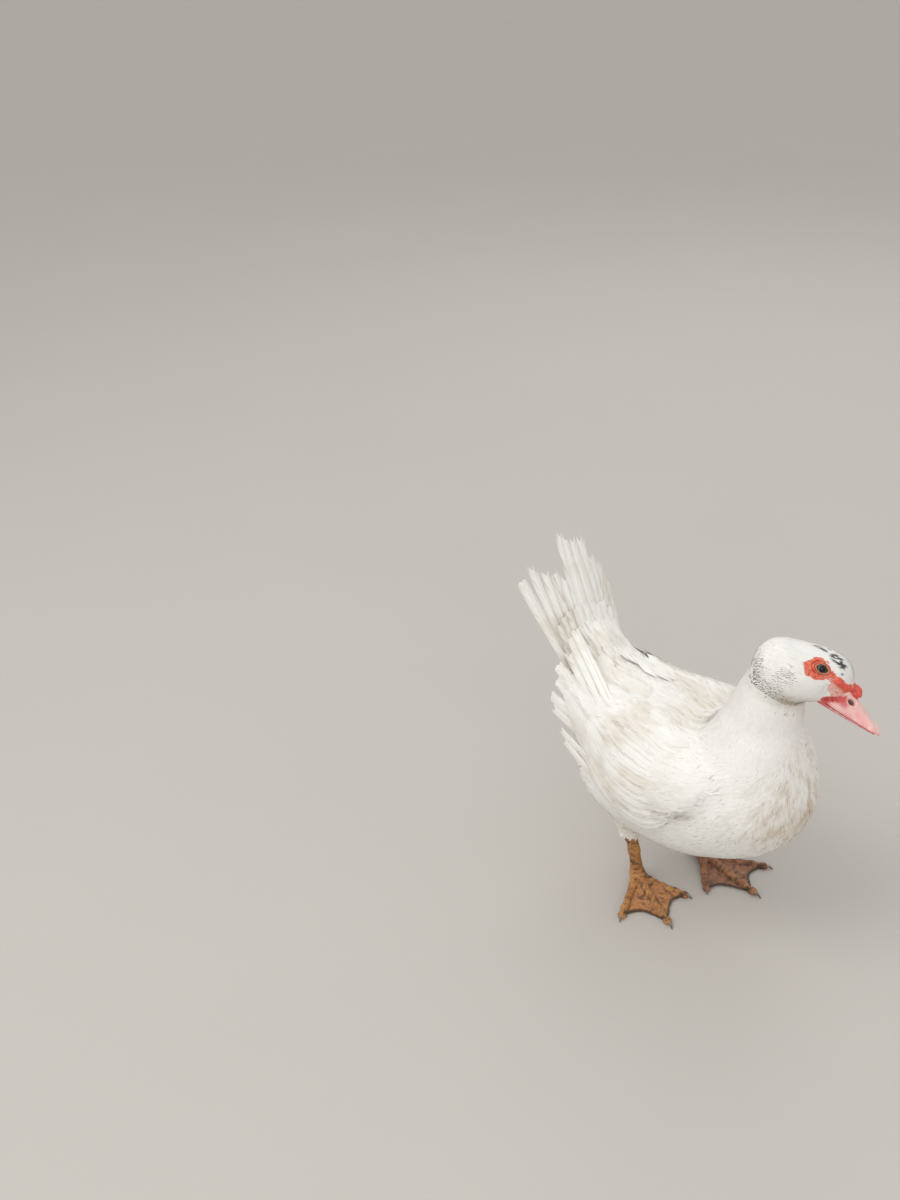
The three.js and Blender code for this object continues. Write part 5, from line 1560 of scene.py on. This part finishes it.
def bill_upper():
    nu, na = 170, 96
    u = np.linspace(0, 1, nu) ** 0.97
    a = np.linspace(0, 2 * PI, na, endpoint=False)
    U, A = np.meshgrid(u, a, indexing="ij")
    c, s = np.cos(A), np.sin(A)
    w, top, lip = bill_half(U), bill_top(U), bill_lip(U)
    y = w * np.sign(c) * np.abs(c) ** 0.85
    z = np.where(s > 0, lip + (top - lip) * np.maximum(s, 0) ** 0.8, lip + 1.2 * s)
    x = mix(BILL["back"], BILL["tip"], U)
    q = np.stack([x, y, z], -1)
    # relief: nostrils, lip rim, lamella ridges, the culmen
    inward = np.stack([np.zeros_like(c), -np.sign(y) * np.abs(c) ** 0.6, -np.maximum(s, 0)], -1)
    inward = unit(inward)
    nr = nostril(q)
    side = (np.abs(y) > 3.0) & (s > -0.05)
    hole = ease(1.0, 0.62, nr) * side
    rim = np.exp(-((nr - 1.22) / 0.16) ** 2) * side
    q = q + inward * (3.0 * hole - 0.42 * rim)[..., None]
    hl = z - lip
    lam = ease(0.04, 0.10, U) * ease(0.62, 0.48, U) * ease(0.6, 1.2, hl) * ease(6.2, 4.8, hl) * (s > 0)
    q = q + inward * (lam * 0.26 * (0.5 + 0.5 * np.sin(2 * PI * hl / 1.55)))[..., None]
    wave = 0.18 * (noise(q, 4.5, 71) - 0.5)
    q = q + inward * wave[..., None]
    q[..., 1] += np.sign(y) * 0.5 * np.exp(-((hl - 0.5) / 0.8) ** 2) * ease(0.1, 0.4, U) * ease(0.98, 0.85, U)
    V = from_local(q.reshape(-1, 3))
    # colour
    n1, n2 = noise(q, 5, 72), noise(q, 1.8, 73)
    pink = np.array([0.84, 0.39, 0.38])
    pale = np.array([0.86, 0.60, 0.54])
    col = mix(pink, pale, (ease(0.35, 0.8, n1) * 0.6 + 0.4 * ease(-4, 2, hl - 0.62 * (top - lip)))[..., None])
    grey = np.array([0.62, 0.48, 0.45])
    col = mix(col, grey, (0.35 * ease(0.55, 0.98, s) * ease(0.1, 0.3, U) * ease(0.3, 0.7, n2))[..., None])
    xx = q[..., 0]
    red = ease(4.6, 2.2, seg2(xx, z, (34, -11), (50.5, -3.2)) + 1.6 * (n2 - 0.5)) * (s > 0)
    red = np.maximum(red, 0.7 * ease(4.5, 1.5, seg2(xx, z, (44, -3), (53, -7)) + 1.6 * (n2 - 0.5)))
    col = mix(col, np.array([0.86, 0.50, 0.42]), (0.75 * ease(46, 40, xx) * ease(-8, -4, z))[..., None])
    col = mix(col, GAPE * np.array([1.1, 1.4, 1.25]), (0.92 * red)[..., None])
    low_red = ease(0.20, 0.03, U) * ease(4, 1, hl)
    col = mix(col, GAPE * np.array([1.3, 2.2, 2.0]), (0.8 * low_red)[..., None])
    ridge = lam * (0.5 + 0.5 * np.sin(2 * PI * hl / 1.55 + PI))
    col = mix(col, np.array([0.88, 0.68, 0.62]), (0.5 * ridge)[..., None])
    col = mix(col, np.array([0.88, 0.62, 0.56]), (0.45 * rim)[..., None])
    # painted shade: the inside of the nostril hole made near black
    col = mix(col, np.array([0.10, 0.035, 0.03]), ease(0.86, 0.62, nr)[..., None] * side[..., None])
    edge = np.exp(-((hl - 0.2) / 0.7) ** 2) * (s > -0.2)
    col = mix(col, np.array([0.58, 0.16, 0.18]), (0.45 * edge * ease(0.05, 0.3, U))[..., None])
    F = tube_faces(nu, na)
    V, T = close(V, F, nu, na)
    col = np.concatenate([col.reshape(-1, 3), col[0].mean(0)[None], col[-1].mean(0)[None]])
    return V, outward(V - V.mean(0), T), col


def bill_lower():
    nu, na = 90, 48
    u = np.linspace(0, 1, nu)
    a = np.linspace(0, 2 * PI, na, endpoint=False)
    U, A = np.meshgrid(u, a, indexing="ij")
    c, s = np.cos(A), np.sin(A)
    w, lip = bill_half(U) * 0.90, bill_lip(U) - 1.25
    deep = mix(BILL["lipBase"] - BILL["baseBottom"] - 1.5, 1.6, np.clip(U * 1.04, 0, 1) ** 0.75)
    y = w * np.sign(c) * np.abs(c) ** 0.9
    z = np.where(s > 0, lip + 0.4 * s, lip - deep * np.maximum(-s, 0) ** 0.8)
    q = np.stack([mix(BILL["back"] - 3, BILL["tip"] - 4.5, U), y, z], -1)
    hl = lip - z
    groove = np.exp(-((hl - 1.6) / 0.5) ** 2) * ease(0.05, 0.2, U)
    q[..., 1] -= np.sign(y) * 0.35 * groove
    n1 = noise(q, 3.5, 75)
    col = mix(np.array([0.74, 0.27, 0.29]), np.array([0.80, 0.46, 0.43]), (ease(0.3, 0.8, n1))[..., None])
    col = mix(col, GAPE * np.array([1.2, 1.6, 1.5]), (0.85 * ease(0.24, 0.02, U))[..., None])
    # painted shade: the bill's side groove darkened
    col = mix(col, col * 0.55, (groove * 0.7)[..., None])
    V = from_local(q.reshape(-1, 3))
    V, T = close(V, tube_faces(nu, na), nu, na)
    col = np.concatenate([col.reshape(-1, 3), col[0].mean(0)[None], col[-1].mean(0)[None]])
    return V, outward(V - V.mean(0), T), col


for name, made, node in (("bill_top", bill_upper(), "bill_upper"), ("bill_under", bill_lower(), "bill_lower")):
    ob = make(name, made[0], made[1], made[2], None, None, MAT["bill"])
    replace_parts(ob, node)


def ball(nu, na, place):
    t = np.linspace(0, PI, nu)
    a = np.linspace(0, 2 * PI, na, endpoint=False)
    Tt, A = np.meshgrid(t[1:-1], a, indexing="ij")
    d = np.stack([np.cos(Tt), np.sin(Tt) * np.cos(A), np.sin(Tt) * np.sin(A)], -1).reshape(-1, 3)
    F = tube_faces(nu - 2, na)
    T = np.concatenate([F[:, [0, 1, 2]], F[:, [0, 2, 3]]])
    j = np.arange(na)
    k = len(d)
    d = np.concatenate([d, [[1, 0, 0]], [[-1, 0, 0]]])
    last = (nu - 3) * na
    T = np.concatenate([T, np.stack([np.full(na, k), j, (j + 1) % na], 1), np.stack([np.full(na, k + 1), last + (j + 1) % na, last + j], 1)])
    Vv = place(d)
    return Vv, outward(Vv - Vv.mean(0), T), d


# nail: a pale hooked plate on the bill's tip
def nail_place(d):
    a = rad(-32)
    x, y, z = d[:, 0] * 6.4, d[:, 1] * (5.6 - 1.6 * np.maximum(0, -d[:, 0])), d[:, 2] * 2.2
    q = np.stack([93.4 + x * math.cos(a) - z * math.sin(a), y, -15.1 + x * math.sin(a) + z * math.cos(a)], -1)
    q[:, 2] -= 1.5 * ease(96, 99.5, q[:, 0])
    q[:, 0] = np.minimum(q[:, 0], 99.4)
    return from_local(q)


Vn, Tn, dn = ball(26, 36, nail_place)
cn = mix(np.array([0.84, 0.56, 0.51]), np.array([0.86, 0.74, 0.64]), ease(-0.4, 0.7, dn[:, 0])[:, None])
ob = make("nail", Vn, Tn, cn, None, None, MAT["nail"])

# ---- eyes
for s, name in ((-1, "right"), (1, "left")):
    w = EYE_OUT[s]
    t1 = unit(np.cross(w, np.array([0, 0, 1.0])))
    t2 = np.cross(w, t1)

    def eye_place(d, s=s, w=w, t1=t1, t2=t2):
        dome = 1 + 0.045 * np.exp(-((1 - d[:, 0]) / 0.10) ** 2)
        q = EYES[s] + EYE_R * dome[:, None] * (d[:, :1] * w + d[:, 1:2] * t1 + d[:, 2:3] * t2)
        return from_local(q)

    Ve, Te, de = ball(90, 64, eye_place)
    rr = EYE_R * np.sin(np.arccos(np.clip(de[:, 0], -1, 1)))
    rr = np.where(de[:, 0] < 0, 9, rr)
    ang = np.arctan2(de[:, 2], de[:, 1])
    ray = 0.5 + 0.5 * np.sin(ang * 34 + 3 * np.sin(ang * 5)) * (0.5 + 0.5 * np.sin(ang * 13 + 1))
    iris = mix(np.array([0.040, 0.036, 0.032]), np.array([0.12, 0.112, 0.095]), (0.6 * ray + 0.4 * ease(2.8, 3.6, rr))[:, None])
    col = mix(np.array([0.003, 0.003, 0.004]), iris, ease(2.9, 3.15, rr)[:, None])
    col = mix(col, np.array([0.03, 0.03, 0.032]), ease(3.75, 4.15, rr)[:, None])
    col = mix(col, np.array([0.20, 0.11, 0.08]), ease(4.5, 5.0, rr)[:, None])
    ob = make("eyeball_" + name, Ve, Te, col, None, None, MAT["eye"])
    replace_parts(ob, "eye_" + name)

# ---- claws
Vs, Ts, Cs, base = [], [], [], 0
for leg in LEGS.values():
    Mz = rot("z", rad(leg["heading"]))
    jobs = []
    for toe in TOES:
        c, s = toe_dir(leg, toe)
        L = toe[1]
        jobs.append(([(0.845 * L * c, 0.845 * L * s, 3.1), (0.92 * L * c, 0.92 * L * s, 3.9), (0.965 * L * c, 0.965 * L * s, 3.0), (1.005 * L * c, 1.005 * L * s, 1.05)], toe[2] * 0.50))
    hs = leg["side"]
    jobs.append(([(-15.5, hs * -4, 5.8), (-18, hs * -4.4, 4.8), (-20.2, hs * -4.6, 3.2)], 1.7))
    for pts, r0 in jobs:
        C, N_, B_, L = frame_line([np.array(p) @ Mz.T + np.array(leg["foot"]) for p in pts], (0, 0, 1))
        nu, na = len(C), 16
        t = np.linspace(0, 1, nu)
        r = r0 * mix(1.0, 0.10, t ** 1.4)
        a = np.linspace(0, 2 * PI, na, endpoint=False)
        ring = C[:, None] + r[:, None, None] * (np.cos(a)[None, :, None] * B_[:, None] * 0.85 + np.sin(a)[None, :, None] * N_[:, None] * 1.1)
        ring[..., 2] = np.maximum(ring[..., 2], SOLE)
        Vc = ring.reshape(-1, 3)
        Vc, Tc = close(Vc, tube_faces(nu, na), nu, na)
        Tc = outward(Vc - Vc.mean(0), Tc)
        tt = np.concatenate([np.repeat(t, na), [0, 1]])
        cc = mix(np.array([0.32, 0.24, 0.17]), np.array([0.10, 0.07, 0.05]), ease(0.25, 0.9, tt)[:, None])
        Vs.append(Vc); Ts.append(Tc + base); Cs.append(cc)
        base += len(Vc)
ob = make("claws", np.concatenate(Vs), np.concatenate(Ts), np.concatenate(Cs), None, None, MAT["claw"])


# ------------------------------------------------------------------ camera, light, floor
scene = bpy.context.scene
f_px, R2, U2, F2 = 1500.0, None, None, None
th, A, roll = rad(26.5), rad(53.0), rad(-2.5)
h = np.array([-math.sin(A), math.cos(A), 0])
F2 = h * math.cos(th) + np.array([0, 0, -math.sin(th)])
U0 = h * math.sin(th) + np.array([0, 0, math.cos(th)])
R0 = np.array([math.cos(A), math.sin(A), 0])
R2 = math.cos(roll) * R0 + math.sin(roll) * U0
U2 = -math.sin(roll) * R0 + math.cos(roll) * U0
eye = (np.array([875.0, -950, 981]) + SHIFT) / 1000
cam = bpy.data.cameras.new("camera")
cam.sensor_fit = "VERTICAL"
cam.sensor_height = 36.0
cam.lens = 36.0 * f_px / 1200
cam.clip_end = 100
co = bpy.data.objects.new("camera", cam)
m = np.eye(4)
m[:3, 0], m[:3, 1], m[:3, 2], m[:3, 3] = R2, U2, -F2, eye
co.matrix_world = Matrix(m.tolist())
scene.collection.objects.link(co)
scene.camera = co

floor_mat, nodes, links, bsdf = new_material("studio_floor")
fine = noise_node(nodes, links, 3, 3)
rgb = nodes.new("ShaderNodeRGB")
rgb.outputs[0].default_value = (0.50, 0.475, 0.445, 1)
links.new(scale_colour(nodes, links, rgb.outputs[0], fine, 0.98, 1.02), bsdf.inputs["Base Color"])
bsdf.inputs["Roughness"].default_value = 0.85
bsdf.inputs["Specular IOR Level"].default_value = 0.2
me = bpy.data.meshes.new("floor")
s = 40.0
me.from_pydata([(-s, -s, 0), (s, -s, 0), (s, s, 0), (-s, s, 0)], [], [(0, 1, 2, 3)])
me.materials.append(floor_mat)
floor = bpy.data.objects.new("floor", me)
scene.collection.objects.link(floor)


def area(name, at, to, size, power, colour=(1, 1, 1)):
    L = bpy.data.lights.new(name, "AREA")
    L.shape = "SQUARE"
    L.size = size
    L.energy = power
    L.color = colour
    ob = bpy.data.objects.new(name, L)
    z = unit(np.array(at, float) - np.array(to, float))
    x = unit(np.cross(np.array([0, 0, 1.0]), z))
    y = np.cross(z, x)
    k = np.eye(4)
    k[:3, 0], k[:3, 1], k[:3, 2], k[:3, 3] = x, y, z, at
    ob.matrix_world = Matrix(k.tolist())
    scene.collection.objects.link(ob)


area("key", (-0.5, -1.7, 2.3), (0, 0, 0.15), 1.7, 24, (1.0, 0.985, 0.955))
area("front", (1.9, -1.3, 1.3), (0, 0, 0.15), 1.8, 15, (0.98, 0.99, 1.0))
area("rim", (-1.2, 1.8, 2.0), (0, 0, 0.2), 1.6, 11)
world = bpy.data.worlds.new("studio")
world.use_nodes = True
world.node_tree.nodes["Background"].inputs[0].default_value = (1.0, 0.99, 0.975, 1)
world.node_tree.nodes["Background"].inputs[1].default_value = 0.78
scene.world = world
scene.view_settings.view_transform = "Standard"
scene.view_settings.look = "None"
scene.cycles.max_bounces = 9
scene.cycles.diffuse_bounces = 8

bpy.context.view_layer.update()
